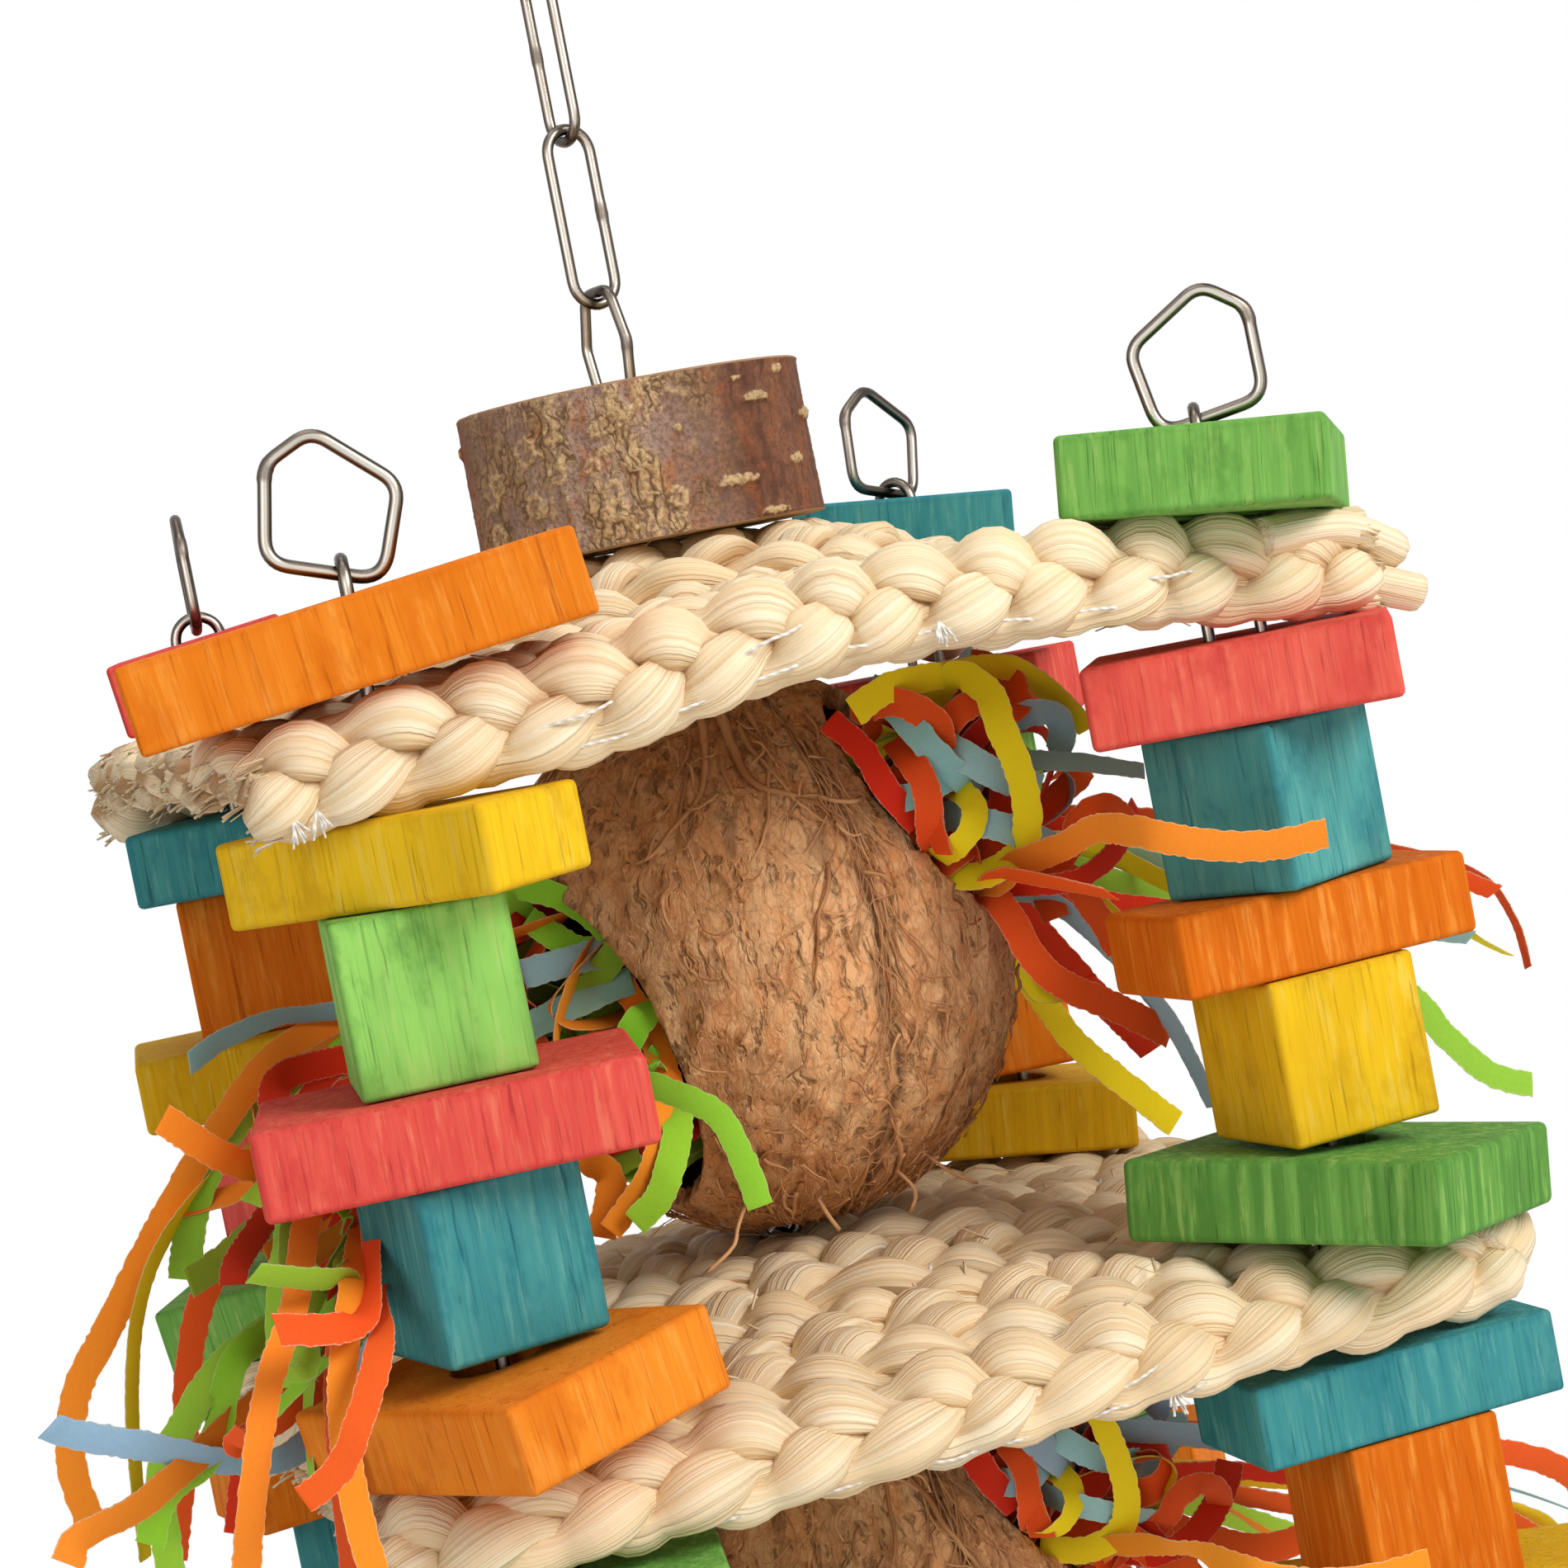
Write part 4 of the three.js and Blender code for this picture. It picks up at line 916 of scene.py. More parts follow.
def makeSlice():
    work = sliceWork
    tall, radius, bore, arris = work["tall"], work["radius"], work["bore"], work["arris"]
    skin, rim = radius - work["skin"], radius - work["skin"] - 0.4
    bm = bmesh.new()
    outline = [(bore, 0), (rim, 0), (skin, arris), (skin, tall - arris), (rim, tall), (bore, tall)]
    verts = [bm.verts.new((x, 0, z)) for x, z in outline]
    edges = [bm.edges.new((a, b)) for a, b in zip(verts, verts[1:] + verts[:1])]
    for parts, cuts in (([2], work["levels"]), ([0, 4], work["rings"]), ([5], work["boreLevels"])):
        bmesh.ops.subdivide_edges(bm, edges=[edges[part] for part in parts], cuts=cuts)
    bmesh.ops.spin(bm, geom=list(bm.verts) + list(bm.edges), cent=(0, 0, 0), axis=(0, 0, 1), angle=tau,
                   steps=work["steps"], use_merge=True)
    bmesh.ops.remove_doubles(bm, verts=bm.verts, dist=1e-4)
    bmesh.ops.recalc_face_normals(bm, faces=bm.faces)
    for face in bm.faces:
        isBark = face.calc_center_median().xy.length > radius - 1.5 and abs(face.normal.z) < 0.6
        face.material_index = 0 if isBark else 1
    spot, flake = bm.verts.layers.float_vector.new("barkSpot"), bm.verts.layers.float.new("barkFlake")
    rise = bm.verts.layers.float.new("barkRise")
    for vert in bm.verts:
        bearing, out, z = atan2(vert.co.y, vert.co.x), vert.co.xy.length, vert.co.z
        at = Vector((cos(bearing) * radius, sin(bearing) * radius, z))
        side = cos(bearing - radians(work["flakeBearing"]))
        patch = 0.45 * noise.noise(Vector((at.x * 0.07, at.y * 0.07, z * 0.05 + 2)))
        flaky = min(1, max(0, 0.5 + 2.2 * (side - 0.72) + patch))
        vert[spot], vert[flake] = at * mm, flaky
        if out > radius - 2:
            vert[rise] = barkLift(at, bearing, flaky)
            bulge = work["lump"] * noise.noise(Vector((at.x * 0.03, at.y * 0.03, z * 0.02)))
            bulge += work["ridge"] * (vert[rise] - 0.3)
            bulge += 0.25 * noise.noise(at * 0.8) + 0.5 * flaky * noise.noise(at * 0.3)
            vert.co.xy *= (out + bulge * (1 if 1 < z < tall - 1 else 0.6)) / out
        vert.co.x += work["shift"] * (vert.co.xy.length - bore) / (radius - bore)
    bm.transform(Matrix.Translation((0, 0, nodePlace("log_slice")[1].z)) @ Matrix.Scale(mm, 4))
    evenNormals(newPiece("log_slice_bark", bm, [bark, sawnEnd], "tower", ["log_slice"]))


makeSlice()
print("log slice barked")


# Coconut shells: coir outside, two wide holes each, curly fibres
shellWork = {
    "radius": 64, "halfTall": 69, "wall": 5, "bore": 10, "around": 220, "up": 130, "seamBearing": -80, "seamHalf": 3.4,
    "holes": [{"reach": 50, "bearing": -169, "rise": -14}, {"reach": 56, "bearing": -33, "rise": 29}],
    "ridge": 1.1, "fuzz": 1.1, "lump": 0.8, "gully": 0.9, "sink": 0.6,
    "seamFibres": 34, "footFibres": 150, "hairStep": 3, "holeGap": 1.5, "hairEnd": 66,
    "coats": [{"count": 520, "reach": 62, "spread": (-1.35, 1.35), "length": (5, 15), "drift": 70,
               "thick": (0.15, 0.28), "curl": (0.3, 1.0, 2.0)},  # fine hairs
              {"count": 420, "reach": 60, "spread": (-1.35, 1.3), "length": (4, 8), "drift": 80,
               "thick": (0.4, 0.75), "curl": (0.8, 1.4, 2)}],  # chips of husk that curl up
    "dangling": [[(-23, -30, -54), (-28, -33, -60), (-31, -36, -64), (-39, -38, -68)],
                 [(-8, -34, -57), (-7, -38, -62), (-5, -38, -66)], [(12, -36, -55), (15, -40, -61), (13, -39, -66)],
                 [(22, -30, -54), (27, -34, -60), (33, -34, -64)]],
}
shellShifts = {"upper": 8, "lower": 0}
shellRoots = [(-112, 60, 42, 20, 1.5), (-104, 62, 60, 16, 2.0), (-98, 56, 30, 4, 1.1), (-92, 60, 40, -8, 1.2),
              (-116, 56, 34, -12, 1.0), (-88, 22, 30, -14, 1.2), (-120, -48, 20, -22, 1.2), (-78, -42, 24, 12, 1.2),
              (-70, -50, 20, 20, 1.0)]  # bearing, height, length, drift, thickness


def holeAxis(hole):
    bearing, rise = radians(hole["bearing"]), radians(hole["rise"])
    return Vector((cos(rise) * cos(bearing), cos(rise) * sin(bearing), sin(rise)))


def onShell(bearing, z):
    work = shellWork
    out = work["radius"] * sqrt(max(0.0, 1 - (z / work["halfTall"]) ** 2))
    return Vector((out * cos(bearing), out * sin(bearing), z))


def makeCoconut(level, seed, axes, centre):
    work, shift = shellWork, shellShifts[level]
    bm = bmesh.new()
    bmesh.ops.create_uvsphere(bm, u_segments=work["around"], v_segments=work["up"], radius=1)
    bmesh.ops.scale(bm, vec=(work["radius"], work["radius"], work["halfTall"]), verts=bm.verts)
    for axis, reach in axes:
        bmesh.ops.bisect_plane(bm, geom=list(bm.verts) + list(bm.edges) + list(bm.faces), plane_co=axis * reach,
                               plane_no=axis, clear_outer=True)
    def inBore(middle):
        return abs(middle.z) > 40 and (middle.xy + Vector((shift, 0))).length < work["bore"]
    bmesh.ops.delete(bm, geom=[face for face in bm.faces if inBore(face.calc_center_median())], context="FACES")
    bm.normal_update()
    seam = bm.verts.layers.float.new("coirSeam")
    for vert in bm.verts:
        at, bearing = vert.co.copy(), atan2(vert.co.y, vert.co.x)
        lines = noise.noise(Vector((cos(bearing) * 12, sin(bearing) * 12, at.z * 0.022 + seed)))
        tufts = noise.fractal(at * 0.16 + Vector((seed, 0, 0)), 0.8, 2.1, 4)
        lump = noise.noise(at * 0.03 + Vector((0, seed, 0)))
        wander = 0.05 * noise.noise((at.z * 0.05, 1, seed))
        off = abs(remainder(bearing - radians(work["seamBearing"]) - wander, tau))
        gully = max(0.0, 1 - off * work["radius"] / work["seamHalf"])
        vert[seam] = 0.9 * gully
        vert.co += vert.normal * (work["ridge"] * lines + work["fuzz"] * tufts + work["lump"] * lump
                                  - work["gully"] * gully - work["sink"])
    bm.transform(Matrix.Translation(centre) @ Matrix.Scale(mm, 4))
    body = level + "_coconut"
    piece = newPiece(body + "_shell", bm, [coir, shellInside, coir], body, [body])
    wall = piece.modifiers.new("shellWall", "SOLIDIFY")
    wall.thickness, wall.offset, wall.use_rim = work["wall"] * mm, -1, True
    wall.material_offset, wall.material_offset_rim = 1, 2


def makeFibres(level, seed, axes, centre):
    work, rng = shellWork, random.Random(seed)
    bm, layers = startMesh()
    def free(point):
        return all(point.dot(axis) < reach - work["holeGap"] for axis, reach in axes) and abs(point.z) < work["hairEnd"]
    def addHair(bearing, z, length, drift, thick, curl):
        points, heading, step = [], radians(-90 + drift), work["hairStep"]
        for k in range(max(3, round(length / step)) + 1):
            point = onShell(bearing, z)
            if not free(point):
                break
            away = Vector((point.x, point.y, point.z * 0.85)).normalized()
            points.append(centre + (point + away * (0.3 + curl * 0.9 * abs(sin(k * 0.9 + z)))) * mm)
            bearing += cos(heading) * step / work["radius"]
            z += sin(heading) * step
            heading += rng.uniform(-0.35, 0.35) * (1 + curl)
        if len(points) > 2:
            path = smoothPath(points, 2.0 * mm)
            def shape(i, turn):  # hairs thin out to their tips
                left = 1 - 0.6 * i / (len(path) - 1)
                return thick * mm * left, thick * 0.7 * mm * left, 1.0
            addRun(bm, layers, path, thick * mm, thick * 0.7 * mm, 4, rng.uniform(0, 60), False, None, shape)
    for coat in work["coats"]:
        for k in range(coat["count"]):
            z = coat["reach"] * sin(rng.uniform(*coat["spread"]))
            addHair(rng.uniform(0, tau), z, rng.uniform(*coat["length"]), rng.uniform(-coat["drift"], coat["drift"]),
                    rng.uniform(*coat["thick"]), rng.choice(coat["curl"]))
    for k in range(work["seamFibres"]):  # straight fibres laid along the seam
        addHair(radians(work["seamBearing"] + rng.uniform(-4, 4)), rng.uniform(-20, 58), rng.uniform(18, 46),
                rng.uniform(-5, 5), rng.uniform(0.2, 0.4), 0.05)
    for bearing, z, length, drift, thick in shellRoots:
        addHair(radians(bearing), z, length, drift, thick * 0.75, 0.15)
    for points in work["dangling"]:  # loose fibres under the shell
        path = smoothPath([centre + Vector(point) * mm for point in points], 2 * mm)
        addRun(bm, layers, path, 0.6 * mm, 0.45 * mm, 5, rng.uniform(0, 60))
    for k in range(work["footFibres"]):  # matted fibres at the foot
        addHair(rng.uniform(0, tau), rng.uniform(-64, -44), rng.uniform(10, 30), rng.uniform(-90, 90),
                rng.uniform(0.2, 0.4), 1.5)
    newRuns(level + "_coconut_fibres", bm, hair, level + "_coconut", ())


def makeShell(level, seed):
    low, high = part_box(level + "_coconut")
    centre = Vector((shellShifts[level] * mm, 0, (low.z + high.z) / 2))
    axes = [(holeAxis(hole), hole["reach"]) for hole in shellWork["holes"]]
    makeCoconut(level, seed, axes, centre)
    makeFibres(level, seed, axes, centre)
    return centre


shellCentres = {level: makeShell(level, number + 3) for number, level in enumerate(shellShifts)}
print("coconuts made")


# Paper strips: bundles out of both holes; the packed loops move with their shell, and the hanging strips are tied to no
# part
paperWork = {
    "width": 6.9, "thick": 0.3, "step": 1.1, "torn": 0.42, "cupped": 0.15, "leftPacked": 26, "rightPacked": 44,
    "leftLoose": 24, "rightLoose": 12, "leftLift": 21, "rightLift": 32, "forward": (0.31, 0.95, 0),
    "mouth": 2, "bend": 26,  # how far out of the hole a hanging strip's start point lies, and how much further its end point lies; the end point is not used
}
paperDyes = {
    "orange": (248, 136, 34), "redOrange": (240, 84, 28), "darkRed": (212, 44, 20), "yellow": (254, 224, 26),
    "lime": (146, 204, 54), "lightBlue": (150, 196, 206),
}
leftDyes = ["orange"] * 6 + ["lime"] * 8 + ["redOrange"] * 3 + ["darkRed"]
rightDyes = ["redOrange"] * 8 + ["darkRed"] * 3 + ["lightBlue"] * 4 + ["yellow"] * 2 + ["orange"] * 2 + ["lime"]
leftRoutes = [
    ("orange", [(-46, 6, -2), (-72, 2, 12), (-105, -10, 7), (-127, -30, 4), (-144, -40, -8), (-158, -45, -21),
                (-178, -50, -44), (-188, -50, -57), (-192, -50, -72), (-190, -50, -88)], 0.1),
    ("yellow", [(-46, 0, -8), (-80, -4, 0), (-112, -18, -6), (-134, -30, -14), (-148, -40, -19), (-162, -50, -28),
                (-171, -55, -40), (-176, -55, -56), (-179, -55, -74), (-181, -55, -95)], 1.0),
    ("orange", [(-46, -6, -12), (-84, -14, -14), (-112, -26, -26), (-138, -60, -17), (-150, -75, -10),
                (-162, -85, 2)], -0.1),
    ("lightBlue", [(-46, -8, -2), (-76, -10, 6), (-109, -20, 10), (-127, -40, 13), (-141, -50, 12),
                   (-150, -55, 9)], 0.45),
    ("lime", [(-46, -4, -16), (-80, -10, -22), (-115, -20, -31), (-136, -40, -31), (-151, -50, -36),
              (-160, -56, -38)], 0.1),
    ("lime", [(-46, 2, -20), (-84, -4, -34), (-112, -22, -46), (-143, -50, -53), (-157, -60, -57), (-167, -65, -65),
              (-175, -65, -76), (-177, -65, -92), (-178, -64, -108)], 0.0),
    ("orange", [(-46, -10, -10), (-82, -24, -18), (-112, -46, -24), (-129, -60, -24), (-137, -85, -28),
                (-145, -100, -41), (-154, -110, -52), (-160, -115, -64), (-166, -115, -83), (-170, -115, -98)], 0.2),
    ("orange", [(-46, -12, -14), (-84, -24, -24), (-113, -40, -30), (-123, -75, -33), (-133, -105, -40),
                (-142, -122, -55), (-145, -128, -70), (-145, -128, -82), (-144, -128, -97)]),
    ("redOrange", [(-46, -12, -18), (-84, -26, -30), (-113, -50, -36), (-125, -90, -43), (-133, -125, -48),
                   (-142, -138, -59), (-149, -140, -68), (-157, -140, -72)], 0.2),
    ("lightBlue", [(-46, 4, -22), (-82, -2, -40), (-112, -16, -62), (-130, -34, -78), (-146, -50, -82),
                   (-163, -70, -75), (-176, -80, -67), (-192, -85, -59), (-198, -88, -55)], 0.0),
    ("orange", [(-46, 6, -22), (-84, 0, -42), (-112, -14, -58), (-128, -30, -66), (-152, -60, -67), (-170, -75, -73),
                (-183, -80, -78), (-196, -85, -80), (-200, -88, -84)], 0.5),
    ("redOrange", [(-46, 8, -14), (-86, 4, -26), (-122, -10, -36), (-140, -20, -37), (-152, -25, -45),
                   (-159, -25, -59), (-165, -25, -81), (-172, -25, -104)]),
    ("darkRed", [(-46, 10, -18), (-84, 4, -30), (-113, -10, -38), (-125, -20, -53), (-138, -30, -64),
                 (-151, -30, -83), (-157, -30, -101)]),
    ("lime", [(-46, -2, -6), (-80, -8, 2), (-112, -20, 0), (-136, -34, -6), (-152, -44, -20), (-160, -50, -38)]),
    ("darkRed", [(-46, -10, -4), (-78, -16, 2), (-108, -26, 0), (-124, -38, -8), (-132, -48, -22)]),
    ("lime", [(-46, -8, -20), (-84, -20, -36), (-116, -40, -44), (-132, -62, -50), (-142, -74, -66),
              (-146, -78, -88)]),
    ("lime", [(-46, -8, -8), (-88, -30, -18), (-128, -58, -26), (-140, -76, -32), (-146, -84, -46),
              (-148, -86, -60)]),
    ("redOrange", [(-46, -12, -12), (-86, -30, -24), (-118, -62, -30), (-130, -84, -44), (-138, -92, -60),
                   (-142, -96, -80), (-144, -96, -100)]),
]
leftCurls = [
    ("lime", [(-58, -14, 18), (-63, -20, 29), (-52, -28, 24), (-44, -32, 13), (-51, -26, 12), (-60, -18, 21)]),
    ("lightBlue", [(-46, -10, 2), (-65, -20, 8), (-52, -28, 10), (-42, -32, 11)]),
    ("lightBlue", [(-46, -12, -10), (-66, -20, -5), (-54, -28, 0), (-42, -34, 3)]),
    ("orange", [(-44, -20, 12), (-44, -30, 4), (-42, -40, -8), (-41, -47, -24)]),
    ("orange", [(-46, -16, -4), (-49, -26, -9), (-46, -34, -19), (-44, -40, -28)]),
    ("lime", [(-50, -14, -10), (-56, -24, -3), (-49, -30, 5), (-44, -35, 11)]),
    ("orange", [(-46, -20, -26), (-61, -34, -34), (-59, -44, -40), (-65, -48, -52)]),
    ("orange", [(-43, -30, -18), (-43, -46, -25), (-52, -54, -39), (-64, -54, -50)]),
    ("lime", [(-42, -34, -20), (-42, -50, -29), (-51, -58, -43), (-59, -58, -49)]),
    ("lime", [(-44, -32, -10), (-51, -50, -12), (-55, -65, -15), (-48, -75, -20), (-41, -80, -26), (-38, -82, -36),
              (-36, -82, -48)]),
]
rightRoutes = [
    ("orange", [(44, -32, 10), (46, -50, 8), (47, -62, 12), (50, -85, 16), (47, -115, 21), (50, -130, 20),
                (56, -135, 17), (68, -135, 13), (80, -135, 11), (92, -135, 11)], 0.1),
    ("redOrange", [(44, -34, 8), (47, -45, 4), (49, -50, -3), (51, -52, -11), (57, -52, -19), (69, -50, -27),
                   (85, -46, -38)], 0.2),
    ("redOrange", [(46, -28, 20), (57, -40, 17), (68, -45, 3), (75, -48, -15)]),
    ("lightBlue", [(50, -34, 4), (60, -36, 2), (68, -40, -5), (76, -46, -18), (84, -50, -35), (90, -52, -57)]),
    ("yellow", [(46, -12, 18), (62, 8, -8), (75, 14, -26), (83, 12, -43), (94, 10, -57), (105, 8, -70)], 0.3),
    ("redOrange", [(46, -10, 24), (80, 2, 18), (130, 10, 6), (183, 10, -13), (206, 10, -25), (213, 8, -39),
                   (213, 5, -52)]),
    ("lime", [(46, -14, 20), (90, -4, 0), (140, 0, -30), (172, 0, -49), (182, 0, -63), (193, 0, -76),
              (205, 0, -82)]),
    ("yellow", [(46, -8, 22), (100, 2, 4), (150, 4, -14), (188, 4, -31), (199, 4, -41), (207, 4, -47)]),
]
rightCurls = [
    ("yellow", [(15, -62, 55), (26, -60, 59), (42, -55, 59), (58, -50, 58), (67, -50, 52), (77, -50, 39)]),
    ("yellow", [(36, -40, 44), (42, -56, 58), (46, -68, 54), (46, -73, 45), (48, -74, 34), (49, -71, 23),
                (48, -64, 15), (42, -56, 11), (34, -48, 12)]),
    ("lightBlue", [(36, -30, 34), (44, -40, 35), (58, -50, 35), (71, -56, 32), (85, -60, 27)]),
    ("redOrange", [(32, -34, 40), (26, -44, 52), (21, -52, 55), (27, -60, 55), (34, -62, 49), (35, -60, 43),
                   (31, -56, 41), (28, -50, 46)]),
    ("darkRed", [(12, -52, 54), (17, -57, 46), (20, -60, 36), (27, -58, 26)]),
    ("redOrange", [(26, -56, 40), (28, -60, 33), (29, -61, 28), (31, -60, 18)]),
    ("lightBlue", [(28, -40, 59), (27, -53, 56), (29, -60, 49), (33, -63, 41), (39, -61, 34), (48, -48, 30)]),
    ("lightBlue", [(37, -48, 46), (37, -58, 43), (40, -64, 39), (48, -63, 33), (60, -53, 28)]),
    ("lightBlue", [(23, -46, 31), (23, -57, 33), (27, -62, 33), (33, -62, 35), (42, -50, 36)]),
    ("lightBlue", [(34, -46, 27), (36, -57, 26), (40, -63, 24), (46, -65, 21), (54, -60, 17), (64, -50, 12)]),
    ("yellow", [(39, -46, 34), (38, -59, 32), (39, -64, 28), (37, -65, 23), (33, -62, 19), (32, -52, 17)]),
    ("redOrange", [(28, -50, 46), (27, -61, 41), (28, -64, 36), (28, -64, 29), (29, -59, 23), (34, -48, 18)]),
    ("redOrange", [(47, -40, 43), (40, -52, 45), (39, -58, 48), (44, -60, 51), (49, -60, 51), (55, -57, 48),
                   (59, -53, 49), (61, -48, 54), (57, -46, 59), (53, -44, 61)]),
    ("lightBlue", [(58, -42, 43), (59, -50, 45), (62, -56, 46), (67, -56, 44), (70, -50, 39), (71, -42, 34)]),
    ("darkRed", [(45, -40, 27), (46, -47, 23), (50, -52, 25), (52, -52, 31), (52, -44, 34)]),
    ("redOrange", [(50, -36, 14), (61, -46, 9), (64, -56, 13), (66, -62, 19), (71, -64, 21), (77, -59, 17),
                   (81, -50, 10)]),
    ("darkRed", [(50, -34, 6), (58, -52, 5), (65, -56, 5), (74, -54, 8), (83, -48, 13), (90, -40, 17)]),
]


def startPaper():
    bm = bmesh.new()
    dye, cross = bm.verts.layers.float_color.new("paperDye"), bm.verts.layers.float_vector.new("paperCross")
    return bm, {"dye": dye, "cross": cross}


# up is what the flat side faces before the strip is rolled and twisted
def addStrip(bm, layers, points, dye, rng, up, roll=0.0, twist=0.0):
    work = paperWork
    path = smoothPath(points, work["step"] * mm)
    frames = runFrames(path, False, up)
    along, half = len(path) - 1, work["width"] / 2 * rng.uniform(0.88, 1.08) * mm
    shade = tone(*(min(255, max(0, c * rng.uniform(0.93, 1.06))) for c in paperDyes[dye]))
    shift = rng.uniform(0, 5)
    for vert in bmesh.ops.create_grid(bm, x_segments=along, y_segments=2, size=0.5)["verts"]:
        i, across = round((vert.co.x + 0.5) * along), vert.co.y * 2
        point, ahead, normal, side = frames[i]
        turn = roll + twist * i / along
        flat = side * cos(turn) + normal * sin(turn)
        ragged = work["torn"] * mm * rng.uniform(-0.6, 0.5) if across else 0.0
        vert[layers["dye"]] = shade
        vert[layers["cross"]] = (shift + i * work["step"] * mm, across, 0)
        cupped = ahead.cross(flat) * (work["cupped"] * mm * (1 - across * across))
        vert.co = point + flat * (across * (half + ragged)) + cupped


def papered(name, bm, level, start, replaced):
    bmesh.ops.remove_doubles(bm, verts=bm.verts, dist=1e-8)
    piece = newPiece(name, bm, [paper], None if start else level + "_coconut", [replaced])
    sheet = piece.modifiers.new("paperThickness", "SOLIDIFY")
    sheet.thickness, sheet.offset = paperWork["thick"] * mm, 0
    evenNormals(piece)
    if start:
        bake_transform(piece)


def packHole(bm, layers, rng, place, side, hole, curls, dyes):  # loops packed in the hole, then the drawn curls
    work, axis = paperWork, holeAxis(hole)
    across = axis.cross(Vector((0, 0, 1))).normalized()
    rise = across.cross(axis)
    wide = sqrt(shellWork["radius"] ** 2 - hole["reach"] ** 2) - shellWork["wall"]
    for k in range(work[side + "Packed"]):
        angle, out = rng.uniform(0, tau), wide * sqrt(rng.uniform(0, 1))
        spin, reach, lift = rng.uniform(0, tau), rng.uniform(10, 25), rng.uniform(5, work[side + "Lift"])
        along = across * cos(spin) + rise * sin(spin)
        bent = along.cross(axis) * rng.uniform(-5, 5)
        loop = []
        for t, up in ((-1, -12), (-0.7, 0.2 * lift), (-0.25, lift), (0.3, 0.95 * lift), (0.75, 0.35 * lift), (1, -6)):
            flat = across * (out * cos(angle)) + rise * (out * sin(angle)) + along * (reach * t) + bent * t * t
            fit = min(1.0, wide / max(1e-6, flat.length))
            loop.append(place(axis * (hole["reach"] + up) + flat * fit))
        addStrip(bm, layers, loop, rng.choice(dyes), rng, axis, rng.uniform(-0.5, 0.5), rng.uniform(-0.9, 0.9))
    for dye, points in curls:
        addStrip(bm, layers, [place(point) for point in points], dye, rng, Vector(work["forward"]),
                 rng.uniform(-0.5, 0.5), rng.uniform(-0.8, 0.8))


def hangStrips(bm, layers, rng, place, side, routes, dyes):  # the drawn strips, then others between them
    work, forward = paperWork, Vector(paperWork["forward"])
    for dye, points, *roll in routes:  # a third value sets how far the strip is rolled from facing the front
        turn = (roll[0], rng.uniform(-0.4, 0.4)) if roll else (rng.uniform(-0.7, 0.7), rng.uniform(-1.3, 1.3))
        addStrip(bm, layers, [place(point) for point in points], dye, rng, forward, *turn)
    for k in range(work[side + "Loose"]):
        first, second = rng.sample(routes, 2)
        blend, reach = rng.uniform(0.2, 0.8), rng.uniform(0.55, 0.95)
        pairs = list(zip(first[1], second[1]))
        points = [place(Vector(a).lerp(Vector(b), blend) + Vector([rng.uniform(-7, 7) for c in "xyz"]))
                  for a, b in pairs[:max(3, round(len(pairs) * reach))]]
        addStrip(bm, layers, points, rng.choice(dyes), rng, forward, rng.uniform(-1, 1), rng.uniform(-1.6, 1.6))


def makePaperBundles(level, seed):
    rng, centre = random.Random(seed), shellCentres[level]
    place = lambda point: centre + Vector(point) * mm
    leftHole, rightHole = shellWork["holes"]
    for side, hole, routes, curls, dyes in (("left", leftHole, leftRoutes, leftCurls, leftDyes),
                                            ("right", rightHole, rightRoutes, rightCurls, rightDyes)):
        bm, layers = startPaper()
        packHole(bm, layers, rng, place, side, hole, curls, dyes)
        papered(level + "_paper_packed_" + side, bm, level, None, level + "_paper")
        bm, layers = startPaper()
        hangStrips(bm, layers, rng, place, side, routes, dyes)
        axis = holeAxis(hole)
        mouth = axis * (hole["reach"] + paperWork["mouth"])
        start, end = place(mouth), place(mouth + Vector((axis.x, axis.y, 0)) * paperWork["bend"])
        papered(level + "_paper_hanging_" + side, bm, level, start, level + "_paper")


for number, level in enumerate(shellShifts):
    makePaperBundles(level, number + 21)
print("paper stuffed")


# Floor, backdrop and soft studio light
stageWork = {
    "floor": -0.62, "floorRadius": 6, "fade": (0.35, 0.65), "ambient": 0.26, "aim": (0, 0, -0.28),
    "lamps": [("keyLight", 22, 0.9, (0.75, -1.25, 0.55)), ("fillLight", 6, 1.1, (-1.3, -0.9, 0.1)),
              ("topLight", 8, 1.0, (0.0, 0.1, 1.2))],  # name, watts, size, place
}


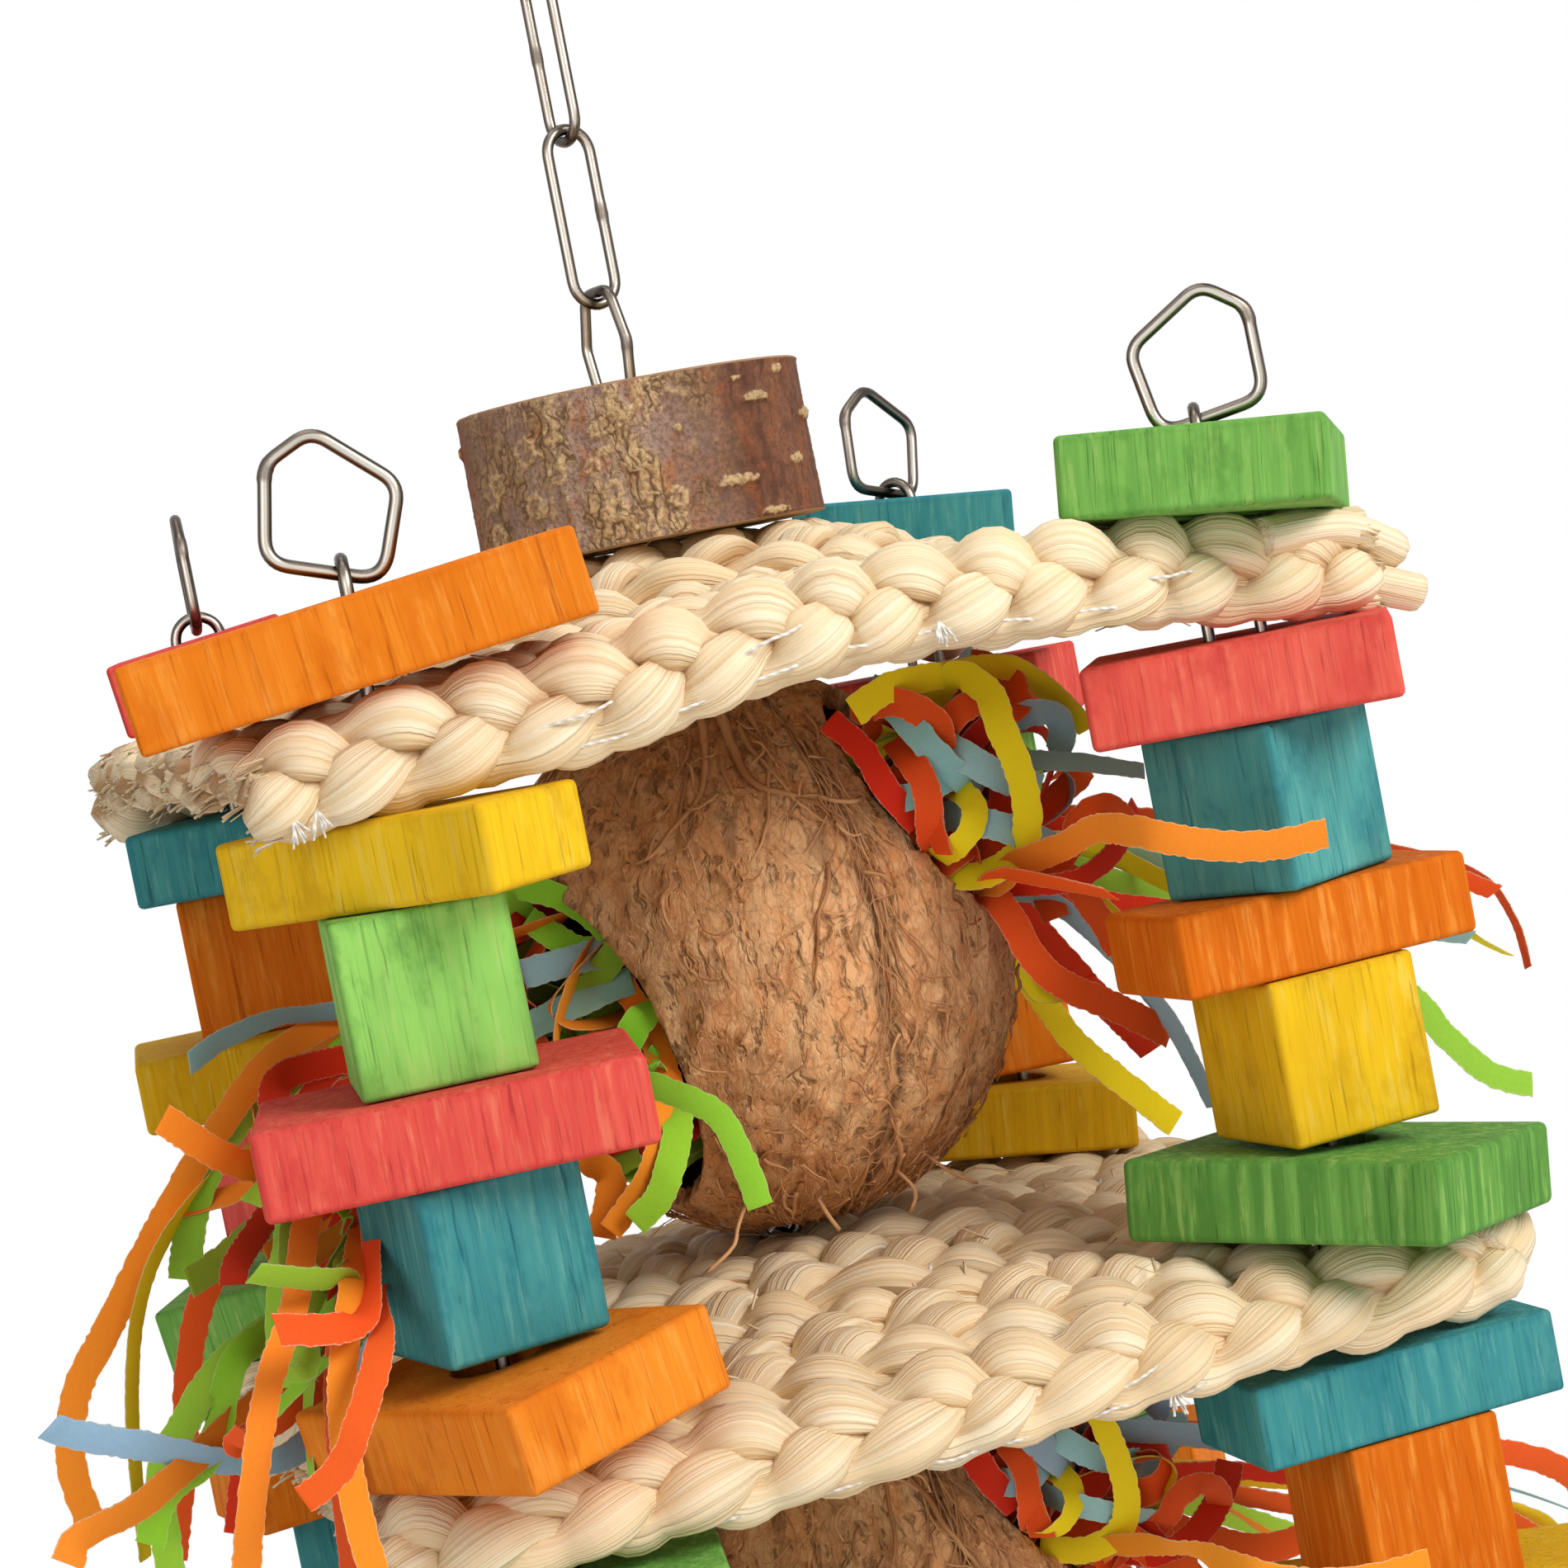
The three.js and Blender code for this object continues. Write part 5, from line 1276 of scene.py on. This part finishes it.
def seenRays(tree):  # 1 for rays that the camera sees straight, in a reflection or through glass
    path = put(tree, "LightPath").outputs
    mirrored = sums(tree, "MAXIMUM", path["Is Camera Ray"], path["Is Glossy Ray"])
    return sums(tree, "MAXIMUM", mirrored, path["Is Transmission Ray"])


def makeFloor():
    material, tree = newMaterial("paleFloor", Roughness=0.8, Specular_IOR_Level=0.1)
    spot = put(tree, "TexCoord").outputs["Object"]
    soft = speckle(tree, spot, (3, 3, 3), 0.0, 2)
    feed(material, layered(tree, tone(240, 239, 238), (soft, 0.3, 0.7, (246, 246, 246))))
    shader = tree.nodes["Principled BSDF"]
    white = put(tree, "Emission", {"Color": (1, 1, 1, 1), "Strength": 1.0})
    far = put(tree, "VectorMath", {0: stretched(tree, spot, 1, 1, 0)}, operation="LENGTH").outputs["Value"]
    share = sums(tree, "MULTIPLY", seenRays(tree), between(tree, far, *stageWork["fade"], 0.6, 1.0))  # no horizon
    mix = put(tree, "MixShader", {0: share, 1: shader.outputs[0], 2: white.outputs[0]})
    tree.links.new(mix.outputs[0], tree.nodes["Material Output"].inputs["Surface"])
    bm = bmesh.new()
    bmesh.ops.create_circle(bm, cap_ends=True, segments=64, radius=stageWork["floorRadius"])
    bmesh.ops.translate(bm, verts=bm.verts, vec=(0, 0, stageWork["floor"]))
    floor = newPiece("floor", bm, [material], None, smooth=False)


def makeLight():
    world = bpy.data.worlds.new("studio")
    bpy.context.scene.world = world
    world.use_nodes = True
    tree = world.node_tree
    ground = tree.nodes["Background"]
    ground.inputs["Color"].default_value = (1, 1, 1, 1)
    tree.links.new(between(tree, seenRays(tree), 0.0, 1.0, stageWork["ambient"], 1.0), ground.inputs["Strength"])
    for name, power, size, place in stageWork["lamps"]:
        data = bpy.data.lights.new(name, "AREA")
        data.energy, data.size, data.shape = power, size, "DISK"
        lamp = addObject(name, data)
        aim = Vector(stageWork["aim"]) - Vector(place)
        lamp.matrix_world = Matrix.Translation(place) @ aim.to_track_quat("-Z", "Y").to_matrix().to_4x4()


makeFloor()
makeLight()
bpy.context.scene.view_settings.view_transform = "Standard"
print("stage lit")
